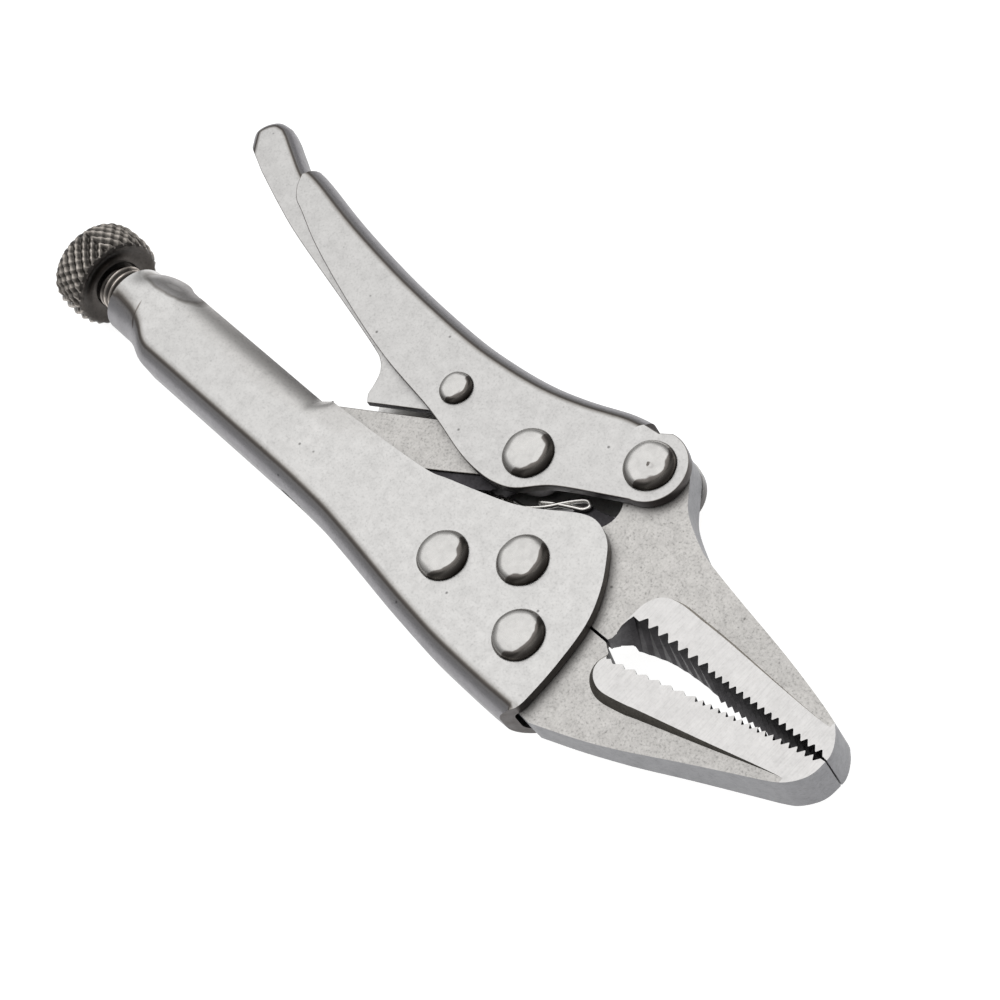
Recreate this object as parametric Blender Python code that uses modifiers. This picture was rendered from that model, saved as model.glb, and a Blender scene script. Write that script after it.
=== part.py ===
"""Long-nose locking pliers, 127 mm, lying on their side with the jaws closed and locked.

Lengths below are millimetres and become metres in the helpers.  +X runs from the adjusting
knob to the nose, +Y from the fixed handle to the lever, +Z out of the upper side.  Heights
(z) in the sketches are from the mid-plane between the two cheeks; at the end everything is
lifted so that the origin is the centre of the jaw-pivot rivet's flat lower head, on which,
with the other rivets and the knob, the pliers lie.
"""

import math

import bmesh
import bpy
from mathutils import Vector

MM = 0.001
WELD = 0.000002

# ---------------------------------------------------------------- driving dimensions
SHEET = 1.25            # folded sheet of the two handles
CHANNEL_HALF = 3.7      # half width over the cheeks
CHANNEL_INNER = CHANNEL_HALF - SHEET
PLATE_HALF = 2.2        # half thickness of the two jaws
PAD_HALF = 3.4          # half thickness of the jaws' gripping pads
LINK_HALF = 1.6
RELEASE_HALF = 2.2
RELEASE_SHEET = 0.9
BEND = 1.8              # outer bend radius of the folds
GAP = 0.1               # clearance round a shank in its hole

JAW_PIVOT = (0.0, 0.0)
REAR_RIVET = (-8.3, -5.5)
LOWER_RIVET = (6.4, -6.7)
LEVER_PIVOT = (3.5, 17.5)
LINK_PIVOT = (-9.6, 9.9)
RELEASE_PIVOT = (-23.4, 10.5)
LINK_REAR = (-46.0, -6.1)       # centre of the link's rounded rear end
SCREW_AXIS = -6.1               # height (Y) of the adjusting screw

SHANK = 1.9
SMALL_SHANK = 1.2
HEAD = 3.2
SMALL_HEAD = 2.15
HEAD_HEIGHT = 0.95
SMALL_HEAD_HEIGHT = 0.75
HEAD_GAP = 0.12

KNOB_RADIUS = 6.45
KNOB_FRONT = -76.3
KNOB_REAR = -82.4
SCREW_RADIUS = 2.7
THREAD_DEPTH = 0.45
THREAD_PITCH = 1.0
LINK_END_RADIUS = 2.4
LINK_PLAY = 1.5                 # free space between the link's rear end and the screw's tip

NECK_END = -74.0
NECK_RADIUS = 4.5
TUBE_TOP = -0.2
TUBE_BOTTOM = -11.9
TUBE_HALF = 4.1                 # half width of the tube, a little wider than the channel
SLOT_HALF = 2.3                 # half width of the slit between the tube's curled edges
CURL_RADIUS = 2.6

SPRING_REAR = (-28.8, -8.9)
SPRING_FRONT = (0.2, 8.6)
WIRE = 0.3
COIL_RADIUS = 1.4
HOOK_RADIUS = 1.3

TEETH_START = 16.2
TEETH_CHANGE = 26.9
TEETH_END = 43.5
LOWER_TEETH_START = 16.9
LOWER_TEETH_CHANGE = 27.7
COARSE_TEETH = 7
FINE_TEETH = 16


# ---------------------------------------------------------------- scene and helpers
def clear_scene():
    for old in list(bpy.data.objects):
        bpy.data.objects.remove(old, do_unlink=True)


def collection(name):
    made = bpy.data.collections.new(name)
    bpy.context.scene.collection.children.link(made)
    return made


clear_scene()
PARTS = collection("locking_pliers")
CUTTERS = collection("cutters")


def finish(name, colour, roughness, metallic=1.0):
    made = bpy.data.materials.new(name)
    made.use_nodes = True
    shader = made.node_tree.nodes["Principled BSDF"]
    shader.inputs["Base Color"].default_value = (*colour, 1.0)
    shader.inputs["Roughness"].default_value = roughness
    shader.inputs["Metallic"].default_value = metallic
    return made


def arc(centre, radius, start, end, steps):
    """Points on a circle from the start angle to the end angle, in degrees."""
    angles = [math.radians(start + (end - start) * i / steps) for i in range(steps + 1)]
    return [(centre[0] + radius * math.cos(a), centre[1] + radius * math.sin(a)) for a in angles]


def smooth(points, steps=3):
    """Points on a smooth curve through the given points."""
    padded = [points[0]] + list(points) + [points[-1]]
    out = []
    for before, a, b, after in zip(padded, padded[1:], padded[2:], padded[3:]):
        for i in range(steps):
            t = i / steps
            out.append(tuple(
                0.5 * (2 * a[k] + (b[k] - before[k]) * t
                       + (2 * before[k] - 5 * a[k] + 4 * b[k] - after[k]) * t * t
                       + (3 * a[k] - before[k] - 3 * b[k] + after[k]) * t ** 3)
                for k in (0, 1)))
    return out + [tuple(points[-1])]


def add(name, mesh, material=None):
    """A part when it has a material, otherwise a cutter."""
    made = bpy.data.objects.new(name, mesh)
    if material is None:
        CUTTERS.objects.link(made)
        made.hide_render = True
        made.display_type = "WIRE"
    else:
        PARTS.objects.link(made)
        mesh.materials.clear()
        mesh.materials.append(material)
    return made


def mesh_of_curve(name, curve):
    """The welded mesh of a curve; the curve itself is removed."""
    guide = bpy.data.objects.new(name + "_guide", curve)
    bpy.context.scene.collection.objects.link(guide)
    bpy.context.view_layer.update()
    evaluated = guide.evaluated_get(bpy.context.evaluated_depsgraph_get())
    mesh = bpy.data.meshes.new_from_object(evaluated)
    mesh.name = name
    bpy.data.objects.remove(guide, do_unlink=True)
    work = bmesh.new()
    work.from_mesh(mesh)
    bmesh.ops.remove_doubles(work, verts=work.verts, dist=WELD)
    bmesh.ops.recalc_face_normals(work, faces=work.faces)
    work.to_mesh(mesh)
    work.free()
    return mesh


def slab(name, outline, low, high, material=None):
    """A flat outline in XY, filled and thickened from low to high along Z."""
    curve = bpy.data.curves.new(name, "CURVE")
    curve.dimensions = "2D"
    curve.fill_mode = "BOTH"
    curve.extrude = 0.5 * (high - low) * MM
    spline = curve.splines.new("POLY")
    spline.points.add(len(outline) - 1)
    for point, (x, y) in zip(spline.points, outline):
        point.co = (x * MM, y * MM, 0.0, 1.0)
    spline.use_cyclic_u = True
    mesh = mesh_of_curve(name, curve)
    for vertex in mesh.vertices:
        vertex.co.z += 0.5 * (high + low) * MM
    return add(name, mesh, material)


def boolean(target, other, operation):
    change = target.modifiers.new(operation.lower(), "BOOLEAN")
    change.operation = operation
    change.solver = "EXACT"
    change.object = other


def cut(target, *cutters):
    for cutter in cutters:
        boolean(target, cutter, "DIFFERENCE")


def rod(name, centre, radius, half_length, sides=24):
    """A round rod along Z through centre."""
    mesh = bpy.data.meshes.new(name)
    work = bmesh.new()
    bmesh.ops.create_cone(work, cap_ends=True, segments=sides, radius1=radius * MM,
                          radius2=radius * MM, depth=2 * half_length * MM)
    work.to_mesh(mesh)
    work.free()
    made = add(name, mesh)
    made.location = (centre[0] * MM, centre[1] * MM, 0.0)
    return made


def block(name, low, high):
    mesh = bpy.data.meshes.new(name)
    work = bmesh.new()
    bmesh.ops.create_cube(work, size=1.0)
    for vertex in work.verts:
        for k in range(3):
            middle = 0.5 * (low[k] + high[k])
            vertex.co[k] = (middle + vertex.co[k] * (high[k] - low[k])) * MM
    work.to_mesh(mesh)
    work.free()
    return add(name, mesh)


def round_fold(target, fold, half, radius, steps=4):
    """Rounds the two long edges of a slab that follow the fold's points."""
    on_fold = {(round(x, 3), round(y, 3)) for x, y in fold}
    work = bmesh.new()
    work.from_mesh(target.data)
    bmesh.ops.dissolve_limit(work, angle_limit=math.radians(0.05), verts=work.verts,
                             edges=work.edges)

    def touches(vertex):
        place = (round(vertex.co.x / MM, 3), round(vertex.co.y / MM, 3))
        return place in on_fold and abs(abs(vertex.co.z / MM) - half) < 0.01

    edges = [e for e in work.edges
             if touches(e.verts[0]) and touches(e.verts[1])
             and abs(e.verts[0].co.z - e.verts[1].co.z) < WELD]
    bmesh.ops.bevel(work, geom=edges, offset=radius * MM, segments=steps, profile=0.5,
                    affect="EDGES", clamp_overlap=True)
    work.to_mesh(target.data)
    work.free()


def turned(name, profile, material, axis="Z", sides=28):
    """A profile of (radius, height) pairs, top to bottom, turned round Z or laid along X."""
    mesh = bpy.data.meshes.new(name)
    mesh.from_pydata([(r * MM, 0.0, h * MM) for r, h in profile],
                     [(i, i + 1) for i in range(len(profile) - 1)], [])
    made = add(name, mesh, material)
    spin = made.modifiers.new("turn", "SCREW")
    spin.axis = "Z"
    spin.steps = sides
    spin.render_steps = sides
    spin.use_merge_vertices = True
    spin.merge_threshold = WELD
    if axis == "X":
        made.rotation_euler = (0.0, math.radians(90), 0.0)
    return made


def shade(target, angle=35):
    target.data.shade_smooth()
    target.data.set_sharp_from_angle(angle=math.radians(angle))


def holes(prefix, centres, radius):
    return [rod(f"{prefix}_hole_{i}", centre, radius, 12.0) for i, centre in enumerate(centres)]


# ---------------------------------------------------------------- materials
NICKEL = finish("satin_nickel", (0.66, 0.65, 0.63), 0.42)
JAW_STEEL = finish("ground_jaw_steel", (0.70, 0.70, 0.69), 0.34)
RIVET_STEEL = finish("polished_rivet_steel", (0.72, 0.71, 0.69), 0.22)
DARK_STEEL = finish("dark_screw_steel", (0.16, 0.15, 0.14), 0.38)
SPRING_STEEL = finish("spring_steel", (0.45, 0.44, 0.42), 0.30)


# ---------------------------------------------------------------- fixed handle
def handle_section(top, bottom, half, top_radius, bend, curl, slot):
    """Half of the handle's outer section as (y, z), from the upper lip to the fold's middle.

    With curl 1 the upper edge is rolled in as far as the slit, with curl 0 it stands straight.
    """
    roll_steps = 6
    bend_steps = 5
    centre_y = top - top_radius
    centre_z = half - top_radius
    reach = math.degrees(math.acos(max(-1.0, min(1.0, (slot - centre_z) / top_radius))))
    points = []
    for i in range(roll_steps, -1, -1):
        angle = math.radians(reach * i / roll_steps)
        rolled = (centre_y + top_radius * math.sin(angle), centre_z + top_radius * math.cos(angle))
        straight = (centre_y + (top - centre_y) * i / roll_steps, half)
        points.append(tuple(curl * r + (1.0 - curl) * s for r, s in zip(rolled, straight)))
    for i in range(bend_steps + 1):
        angle = math.radians(90.0 * i / bend_steps)
        points.append((bottom + bend - bend * math.sin(angle), half - bend + bend * math.cos(angle)))
    return points


def fixed_handle_shell():
    """The open surface of the rolled tube and the folded channel, from the neck to the front."""
    ring = (SCREW_AXIS + NECK_RADIUS, SCREW_AXIS - NECK_RADIUS, NECK_RADIUS,
            NECK_RADIUS, NECK_RADIUS, 1.0, 0.25)
    tube = (TUBE_TOP, TUBE_BOTTOM, TUBE_HALF, CURL_RADIUS, BEND, 1.0, SLOT_HALF)

    def shoulder(t, top, bottom):
        """Part of the way from the round neck to the tube, with its own top and bottom."""
        return (top, bottom) + tuple(a + (b - a) * t for a, b in zip(ring[2:], tube[2:]))

    def open_channel(top, bottom, half=CHANNEL_HALF):
        return (top, bottom, half, CURL_RADIUS, BEND, 0.0, SLOT_HALF)

    stations = [
        (NECK_END, ring), (-71.2, ring), (-69.8, shoulder(0.08, -0.95, -10.6)),
        (-68.4, shoulder(0.2, -0.5, -10.6)), (-66.8, shoulder(0.42, -0.25, -10.75)),
        (-65.2, shoulder(0.68, -0.15, -11.15)), (-63.8, shoulder(0.9, -0.15, -11.65)),
        (-62.2, tube), (-37.2, tube),
        (-36.0, (-0.1, TUBE_BOTTOM, TUBE_HALF, CURL_RADIUS, BEND, 0.75, SLOT_HALF)),
        (-34.6, open_channel(0.6, TUBE_BOTTOM, 4.05)), (-27.0, open_channel(2.0, -12.1)),
        (-21.5, open_channel(3.0, -12.6)), (-16.6, open_channel(5.0, -13.2)),
        (-8.3, open_channel(12.0, -14.2)), (0.0, open_channel(12.0, -14.85)),
        (7.0, open_channel(12.0, -14.95)), (14.5, open_channel(12.0, -14.8)),
    ]
    work = bmesh.new()
    rows = []
    for x, shape in stations:
        half = handle_section(*shape)
        whole = half + [(y, -z) for y, z in reversed(half)]
        rows.append([work.verts.new((x * MM, y * MM, z * MM)) for y, z in whole])
    for row, following in zip(rows, rows[1:]):
        for a, b, c, d in zip(row, row[1:], following[1:], following):
            work.faces.new((a, d, c, b))
    bmesh.ops.remove_doubles(work, verts=work.verts, dist=WELD)
    bmesh.ops.recalc_face_normals(work, faces=work.faces)
    mesh = bpy.data.meshes.new("fixed_handle")
    work.to_mesh(mesh)
    work.free()
    return mesh


HANDLE_FRONT = (
    smooth([(-35.6, -0.2), (-32.7, -0.1), (-19.3, 0.75), (-14.9, 1.75), (-7.9, 3.7), (-4.8, 4.9),
            (-2.6, 6.1), (1.2, 8.3), (3.6, 8.8), (6.1, 7.9), (7.9, 6.1), (10.1, 3.0),
            (11.8, -1.0), (12.6, -6.5), (12.8, -11.6), (12.5, -13.0)], 2)
    + [(11.4, -14.2), (9.6, -16.0)])


def make_fixed_handle():
    handle = add("fixed_handle", fixed_handle_shell(), NICKEL)
    shell = handle.modifiers.new("sheet", "SOLIDIFY")
    shell.thickness = SHEET * MM
    shell.offset = -1.0
    shell.use_even_offset = True
    side = HANDLE_FRONT + [(-80.0, -16.0), (-80.0, 1.0), (-36.4, 1.0)]
    boolean(handle, slab("handle_side", side, -9.0, 9.0), "INTERSECT")
    tab = block("spring_tab", (-29.5, TUBE_BOTTOM + 0.4, -0.6), (-28.3, -7.6, 0.6))
    boolean(handle, tab, "UNION")
    slit = slab("spring_slit", arc((-33.0, 0.0), 1.1, 90, 270, 6) + [(-29.5, -1.1), (-29.5, 1.1)],
                10.0, 14.0)
    slit.rotation_euler = (math.radians(90), 0.0, 0.0)
    cut(handle, slit)
    cut(handle, *holes("handle", [JAW_PIVOT, REAR_RIVET, LOWER_RIVET], SHANK + GAP))
    shade(handle)
    return handle


# ---------------------------------------------------------------- jaws
def teeth(start, end, count, tip_start, tip_end, depth):
    """Saw teeth along a line: each rises steeply from its tip and slopes back to the next."""
    points = []
    for i in range(count):
        for t, rise in ((i / count, 0.0), ((i + 0.4) / count, depth)):
            points.append((start + (end - start) * t, tip_start + (tip_end - tip_start) * t + rise))
    return points


COARSE_DEPTH = 0.85
LOWER_COARSE_DEPTH = 0.42
FINE_DEPTH = 0.6
MEET = 4.5              # height of the line where the two jaws' tips meet
TIP_GAP = 0.1           # half the gap between the closed tips

UPPER_TEETH = (teeth(TEETH_START, TEETH_CHANGE, COARSE_TEETH, 3.2, 3.7, COARSE_DEPTH)
               + teeth(TEETH_CHANGE, TEETH_END, FINE_TEETH, 3.7, MEET + TIP_GAP, FINE_DEPTH))
LOWER_TEETH = (teeth(LOWER_TEETH_START, LOWER_TEETH_CHANGE, COARSE_TEETH, -2.0, 0.9,
                     -LOWER_COARSE_DEPTH)
               + teeth(LOWER_TEETH_CHANGE, TEETH_END, FINE_TEETH, 0.9, MEET - TIP_GAP,
                       -FINE_DEPTH))

JAW_LOBE = 5.5          # radius of the moving jaw's eye round the jaw pivot
LOBE_CLEARANCE = 0.35
PARTING = -0.45         # height of the moving jaw's edge where it meets the fixed jaw
EAR = 4.4               # radius of the moving jaw's ear round the lever pivot

MOVING_JAW = (
    [(14.6, PARTING)]
    + arc(JAW_PIVOT, JAW_LOBE, -5, -290, 30)
    + arc((0.6, 10.6), 3.45, -42, 48, 8)
    + arc(LEVER_PIVOT, EAR, 252, 35, 18)
    + smooth([(8.4, 18.5), (10.6, 16.2), (14.4, 14.2), (16.9, 13.4), (22.5, 12.3), (32.4, 10.5),
              (40.6, 8.6), (42.4, 7.7), (43.5, 6.4), (44.1, MEET + TIP_GAP)])
    + list(reversed(UPPER_TEETH))
    + [(14.9, 3.2), (14.5, 2.7), (14.5, 0.0)])

FIXED_JAW = (
    [(14.6, PARTING - LOBE_CLEARANCE), (14.3, -1.3), (15.5, -1.7), (16.3, -2.8)]
    + LOWER_TEETH
    + smooth([(44.1, MEET - TIP_GAP), (44.0, 2.8), (43.5, 1.5), (42.3, 0.0), (40.8, -1.0),
              (37.5, -2.6), (31.1, -5.7), (24.9, -8.8), (19.6, -11.1), (14.2, -13.1)])
    + [(9.0, -12.9), (0.0, -12.4), (-6.5, -10.4)]
    + arc(REAR_RIVET, 3.7, 265, 100, 12)
    + [(-6.9, -2.4)]
    + arc(JAW_PIVOT, JAW_LOBE + LOBE_CLEARANCE, 200, 352, 18))

PAD_UPPER_EDGE = smooth([(15.0, -8.0), (15.0, 3.2), (15.1, 5.2), (16.2, 6.9), (18.3, 7.6),
                         (26.2, 7.7), (34.3, 7.5), (46.0, 7.5)])
PAD_LOWER_EDGE = smooth([(15.0, 1.5), (15.0, -1.6), (15.6, -3.6), (17.0, -5.1), (18.9, -5.5),
                         (23.8, -4.3), (31.4, -2.4), (41.0, 0.1), (46.0, 0.9)])


def flange_cutters(name, edge, far_corners):
    """Takes the jaw down to its flange on both faces, everywhere beside the raised pad."""
    outline = edge + far_corners
    return [slab(name + "_upper", outline, PLATE_HALF, PAD_HALF + 1.0),
            slab(name + "_lower", outline, -PAD_HALF - 1.0, -PLATE_HALF)]


HORN_HALF = 0.8
HORN_RADIUS = 1.7
HORN_HOLE = 0.75


def make_moving_jaw():
    jaw = slab("moving_jaw", MOVING_JAW, -PAD_HALF, PAD_HALF, JAW_STEEL)
    cut(jaw, *flange_cutters("moving_flange", PAD_UPPER_EDGE, [(46, 30), (-20, 30), (-20, -8)]))
    horn = slab("spring_horn", [(-2.6, 3.6)] + arc(SPRING_FRONT, HORN_RADIUS, 180, 10, 10)
                + [(2.2, 5.0), (1.5, 3.6)], -HORN_HALF, HORN_HALF)
    boolean(jaw, horn, "UNION")
    cut(jaw, *holes("jaw", [JAW_PIVOT, LEVER_PIVOT], SHANK + GAP))
    cut(jaw, rod("horn_hole", SPRING_FRONT, HORN_HOLE, 3.0, sides=14))
    return jaw


def make_fixed_jaw():
    jaw = slab("fixed_jaw", FIXED_JAW, -PAD_HALF, PAD_HALF, JAW_STEEL)
    cut(jaw, *flange_cutters("fixed_flange", PAD_LOWER_EDGE, [(46, -20), (-20, -20), (-20, 1.5)]))
    cut(jaw, *holes("tail", [REAR_RIVET, LOWER_RIVET], SHANK + GAP))
    return jaw


# ---------------------------------------------------------------- lever
LEVER_LOBE = 4.6
LEVER_BACK = smooth([(-0.9, 21.9), (-3.9, 21.3), (-9.2, 19.5), (-14.7, 18.15), (-21.0, 17.4),
                     (-28.0, 17.2), (-40.1, 17.9), (-51.8, 19.35), (-60.5, 20.95), (-63.2, 21.3)], 2)
LEVER_EDGE = smooth([(-64.1, 20.4), (-63.4, 17.8), (-61.9, 16.4), (-59.9, 15.6), (-54.2, 13.3),
                     (-44.6, 10.4), (-34.5, 8.0), (-24.0, 6.5), (-17.0, 4.9), (-13.0, 4.5),
                     (-10.0, 4.8), (-7.6, 5.8), (-4.5, 8.5), (-0.6, 10.6)], 2)


def inset(points, distance):
    """The points moved sideways, towards the inner side of a fold."""
    moved = []
    for i, point in enumerate(points):
        before = points[max(i - 1, 0)]
        after = points[min(i + 1, len(points) - 1)]
        along = Vector((after[0] - before[0], after[1] - before[1])).normalized()
        moved.append((point[0] - along.y * distance, point[1] + along.x * distance))
    return moved


def make_lever():
    outline = (LEVER_BACK + LEVER_EDGE + arc(LEVER_PIVOT, LEVER_LOBE, -78, 100, 16)
               + [(1.3, 21.2), (-0.9, 21.0)])
    lever = slab("lever_handle", outline, -CHANNEL_HALF, CHANNEL_HALF, NICKEL)
    round_fold(lever, LEVER_BACK, CHANNEL_HALF, BEND)
    inside = [(-1.2, 30.0)] + inset(LEVER_BACK, SHEET) + [(-80.0, 22.0), (-80.0, -2.0),
                                                          (15.0, -2.0), (15.0, 30.0)]
    cut(lever, slab("lever_inside", inside, -CHANNEL_INNER, CHANNEL_INNER))
    cut(lever, *holes("lever", [LEVER_PIVOT, LINK_PIVOT], SHANK + GAP))
    cut(lever, *holes("lever_small", [RELEASE_PIVOT], SMALL_SHANK + GAP))
    shade(lever)
    return lever


# ---------------------------------------------------------------- toggle link
LINK_SLOPE = 0.5375     # of the link's upper edge
LINK_TOP = 2.3          # its height where x is minus LINK_TOP_AT
LINK_TOP_AT = 31.7


def link_top(x):
    return LINK_TOP + LINK_SLOPE * (x + LINK_TOP_AT)


def make_toggle_link():
    upper = [(x, link_top(x)) for x in (-15.5, -24.0, -31.7, -36.2)]
    lower = [(-36.0, -7.4), (-28.0, -3.0), (-20.5, 0.8), (-14.0, 3.5)]
    outline = (arc(LINK_PIVOT, 3.9, -80, 112, 16) + upper
               + smooth([(-38.6, -2.0), (-42.0, -3.2)], 2)
               + arc(LINK_REAR, LINK_END_RADIUS, 92, 268, 12) + smooth([(-42.0, -8.3)] + lower))
    link = slab("toggle_link", outline, -LINK_HALF, LINK_HALF, NICKEL)
    cut(link, *holes("link", [LINK_PIVOT], SHANK + GAP))
    return link


# ---------------------------------------------------------------- release lever
RELEASE_BACK = smooth([(-20.6, 15.7), (-28.0, 15.5), (-40.1, 16.1), (-51.8, 17.8), (-60.0, 19.1),
                       (-65.0, 20.3), (-69.0, 22.0), (-71.6, 23.2)], 2)
HOOK_PLAY = 0.8         # height of the hook's edge over the link's upper edge


def make_release_lever():
    tail = smooth([(-73.0, 23.7), (-74.9, 23.5), (-76.3, 22.2), (-76.8, 20.4), (-75.8, 18.8)])
    edge = smooth([(-70.7, 16.7), (-64.3, 14.6), (-58.4, 12.95), (-45.9, 10.2), (-37.9, 8.35),
                   (-35.7, 7.6), (-34.4, 6.4), (-33.7, 4.7), (-33.4, 3.5), (-32.6, 2.6)], 2)
    hook = [(x, link_top(x) + HOOK_PLAY) for x in (-30.5, -23.4)]
    outline = (RELEASE_BACK + tail + edge + hook + arc(RELEASE_PIVOT, 2.8, -60, 10, 5)
               + [(-20.6, 13.0)])
    release = slab("release_lever", outline, -RELEASE_HALF, RELEASE_HALF, NICKEL)
    round_fold(release, RELEASE_BACK, RELEASE_HALF, 1.2, 3)
    inner = RELEASE_HALF - RELEASE_SHEET
    roof = inset(RELEASE_BACK + tail[:1], RELEASE_SHEET)
    roof = [(-10.0, 14.8)] + roof[1:-1] + [(-74.3, 22.2), (-75.4, 20.6), (-76.0, 10.0)]
    cut(release, slab("release_inside", roof + [(-76.0, -5.0), (-10.0, -5.0)], -inner, inner))
    cut(release, *holes("release", [RELEASE_PIVOT], SMALL_SHANK + GAP))
    shade(release)
    return release


# ---------------------------------------------------------------- rivets
def make_rivet(name, centre, shank, head, height):
    """A rivet across the channel with a low dome at each end."""
    seat = CHANNEL_HALF + HEAD_GAP
    top = seat + height
    half = [(0.0, top), (0.55 * head, top), (0.82 * head, top - 0.22 * height),
            (0.96 * head, top - 0.62 * height), (head, seat), (shank, seat)]
    profile = half + [(r, -h) for r, h in reversed(half)]
    rivet = turned(name, profile, RIVET_STEEL)
    rivet.location = (centre[0] * MM, centre[1] * MM, 0.0)
    return rivet


# ---------------------------------------------------------------- adjusting screw and knob
SCREW_TIP = LINK_REAR[0] - LINK_END_RADIUS - LINK_PLAY


def make_screw():
    root = SCREW_RADIUS - THREAD_DEPTH
    profile = [(0.0, SCREW_TIP), (1.5, SCREW_TIP), (root, SCREW_TIP - 0.8)]
    turns = int((SCREW_TIP - 2.0 - KNOB_FRONT) / THREAD_PITCH)
    for i in range(turns):
        start = SCREW_TIP - 1.2 - i * THREAD_PITCH
        profile += [(root, start), (SCREW_RADIUS, start - 0.5 * THREAD_PITCH)]
    profile += [(root, KNOB_FRONT + 0.3), (0.0, KNOB_FRONT + 0.3)]
    screw = turned("adjusting_screw", profile, DARK_STEEL, "X", 20)
    screw.location = (0.0, SCREW_AXIS * MM, 0.0)
    return screw


def make_knob():
    front, rear, r = KNOB_FRONT, KNOB_REAR, KNOB_RADIUS
    profile = [(0.0, front), (r - 1.1, front), (r - 0.35, front - 0.35), (r, front - 1.0),
               (r, rear + 1.8), (r - 0.35, rear + 0.85), (r - 1.2, rear + 0.2), (r - 2.2, rear),
               (0.0, rear)]
    knob = turned("adjusting_knob", profile, DARK_STEEL, "X", 40)
    knob.location = (0.0, SCREW_AXIS * MM, 0.0)
    shade(knob)
    return knob


# ---------------------------------------------------------------- tension spring
def make_spring():
    """A tension spring with a hook at each end, from the handle's tab to the jaw's horn."""
    rear = Vector((*SPRING_REAR, 0.0))
    front = Vector((*SPRING_FRONT, 0.0))
    along = (front - rear).normalized()
    up = Vector((0.0, 0.0, 1.0))
    side = up.cross(along)
    length = (front - rear).length
    coil_start = 5.5
    coil_end = 22.0
    turns = 12
    points_per_turn = 12

    def place(s, across, height):
        return rear + along * s + side * across + up * height

    points = []
    for i in range(11):
        angle = math.radians(60 + 27 * i)
        points.append(place(HOOK_RADIUS * math.cos(angle), 0.0, HOOK_RADIUS * math.sin(angle)))
    points += [place(2.2, 0.0, -0.2), place(3.6, 0.3, 0.0), place(4.8, 0.9, 0.1)]
    for i in range(turns * points_per_turn + 1):
        t = i / (turns * points_per_turn)
        angle = math.radians(360.0 * turns * t)
        points.append(place(coil_start + (coil_end - coil_start) * t,
                            COIL_RADIUS * math.cos(angle), COIL_RADIUS * math.sin(angle)))
    centre = length - HOOK_RADIUS
    points += [place(coil_end + 1.2, 1.35, 0.0), place(centre - 5.0, 1.2, 0.0),
               place(centre - 2.6, 0.5, -0.5), place(centre - 1.3, 0.05, -1.05)]
    for i in range(9):
        angle = math.radians(-110 + 27 * i)
        points.append(place(centre + HOOK_RADIUS * math.cos(angle), 0.0,
                            HOOK_RADIUS * math.sin(angle)))
    curve = bpy.data.curves.new("tension_spring", "CURVE")
    curve.dimensions = "3D"
    curve.bevel_depth = WIRE * MM
    curve.bevel_resolution = 2
    curve.use_fill_caps = True
    spline = curve.splines.new("POLY")
    spline.points.add(len(points) - 1)
    for point, place_mm in zip(spline.points, points):
        point.co = (*(place_mm * MM), 1.0)
    spring = add("tension_spring", mesh_of_curve("tension_spring", curve), SPRING_STEEL)
    spring.data.shade_smooth()
    return spring


# ---------------------------------------------------------------- assembly
def put_on_axis(target, centre):
    """Moves an object's origin to a joint axis without moving its shape."""
    shift = Vector((centre[0] * MM, centre[1] * MM, 0.0)) - target.location
    for vertex in target.data.vertices:
        vertex.co -= shift
    target.location = target.location + shift


make_fixed_handle()
make_fixed_jaw()
put_on_axis(make_moving_jaw(), JAW_PIVOT)
put_on_axis(make_lever(), LEVER_PIVOT)
put_on_axis(make_toggle_link(), LINK_PIVOT)
put_on_axis(make_release_lever(), RELEASE_PIVOT)
make_screw()
make_knob()
make_spring()
for rivet_name, rivet_centre in (
        ("jaw_pivot_rivet", JAW_PIVOT), ("rear_jaw_rivet", REAR_RIVET),
        ("lower_jaw_rivet", LOWER_RIVET), ("lever_pivot_rivet", LEVER_PIVOT),
        ("link_rivet", LINK_PIVOT)):
    make_rivet(rivet_name, rivet_centre, SHANK, HEAD, HEAD_HEIGHT)
make_rivet("release_rivet", RELEASE_PIVOT, SMALL_SHANK, SMALL_HEAD, SMALL_HEAD_HEIGHT)

mid_plane = bpy.data.objects.new("mid_plane", None)
bpy.context.scene.collection.objects.link(mid_plane)
mid_plane.location.z = (CHANNEL_HALF + HEAD_GAP + HEAD_HEIGHT) * MM
for member in list(PARTS.objects) + list(CUTTERS.objects):
    member.parent = mid_plane
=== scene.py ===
"""Long-nose locking pliers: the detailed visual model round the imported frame.

Shapes are worked out in millimetres from the mid-plane between the two cheeks, and become
metres, lifted to the frame's own heights, in settle().
"""

import math

import bmesh
import bpy
from mathutils import Matrix, Vector


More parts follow.
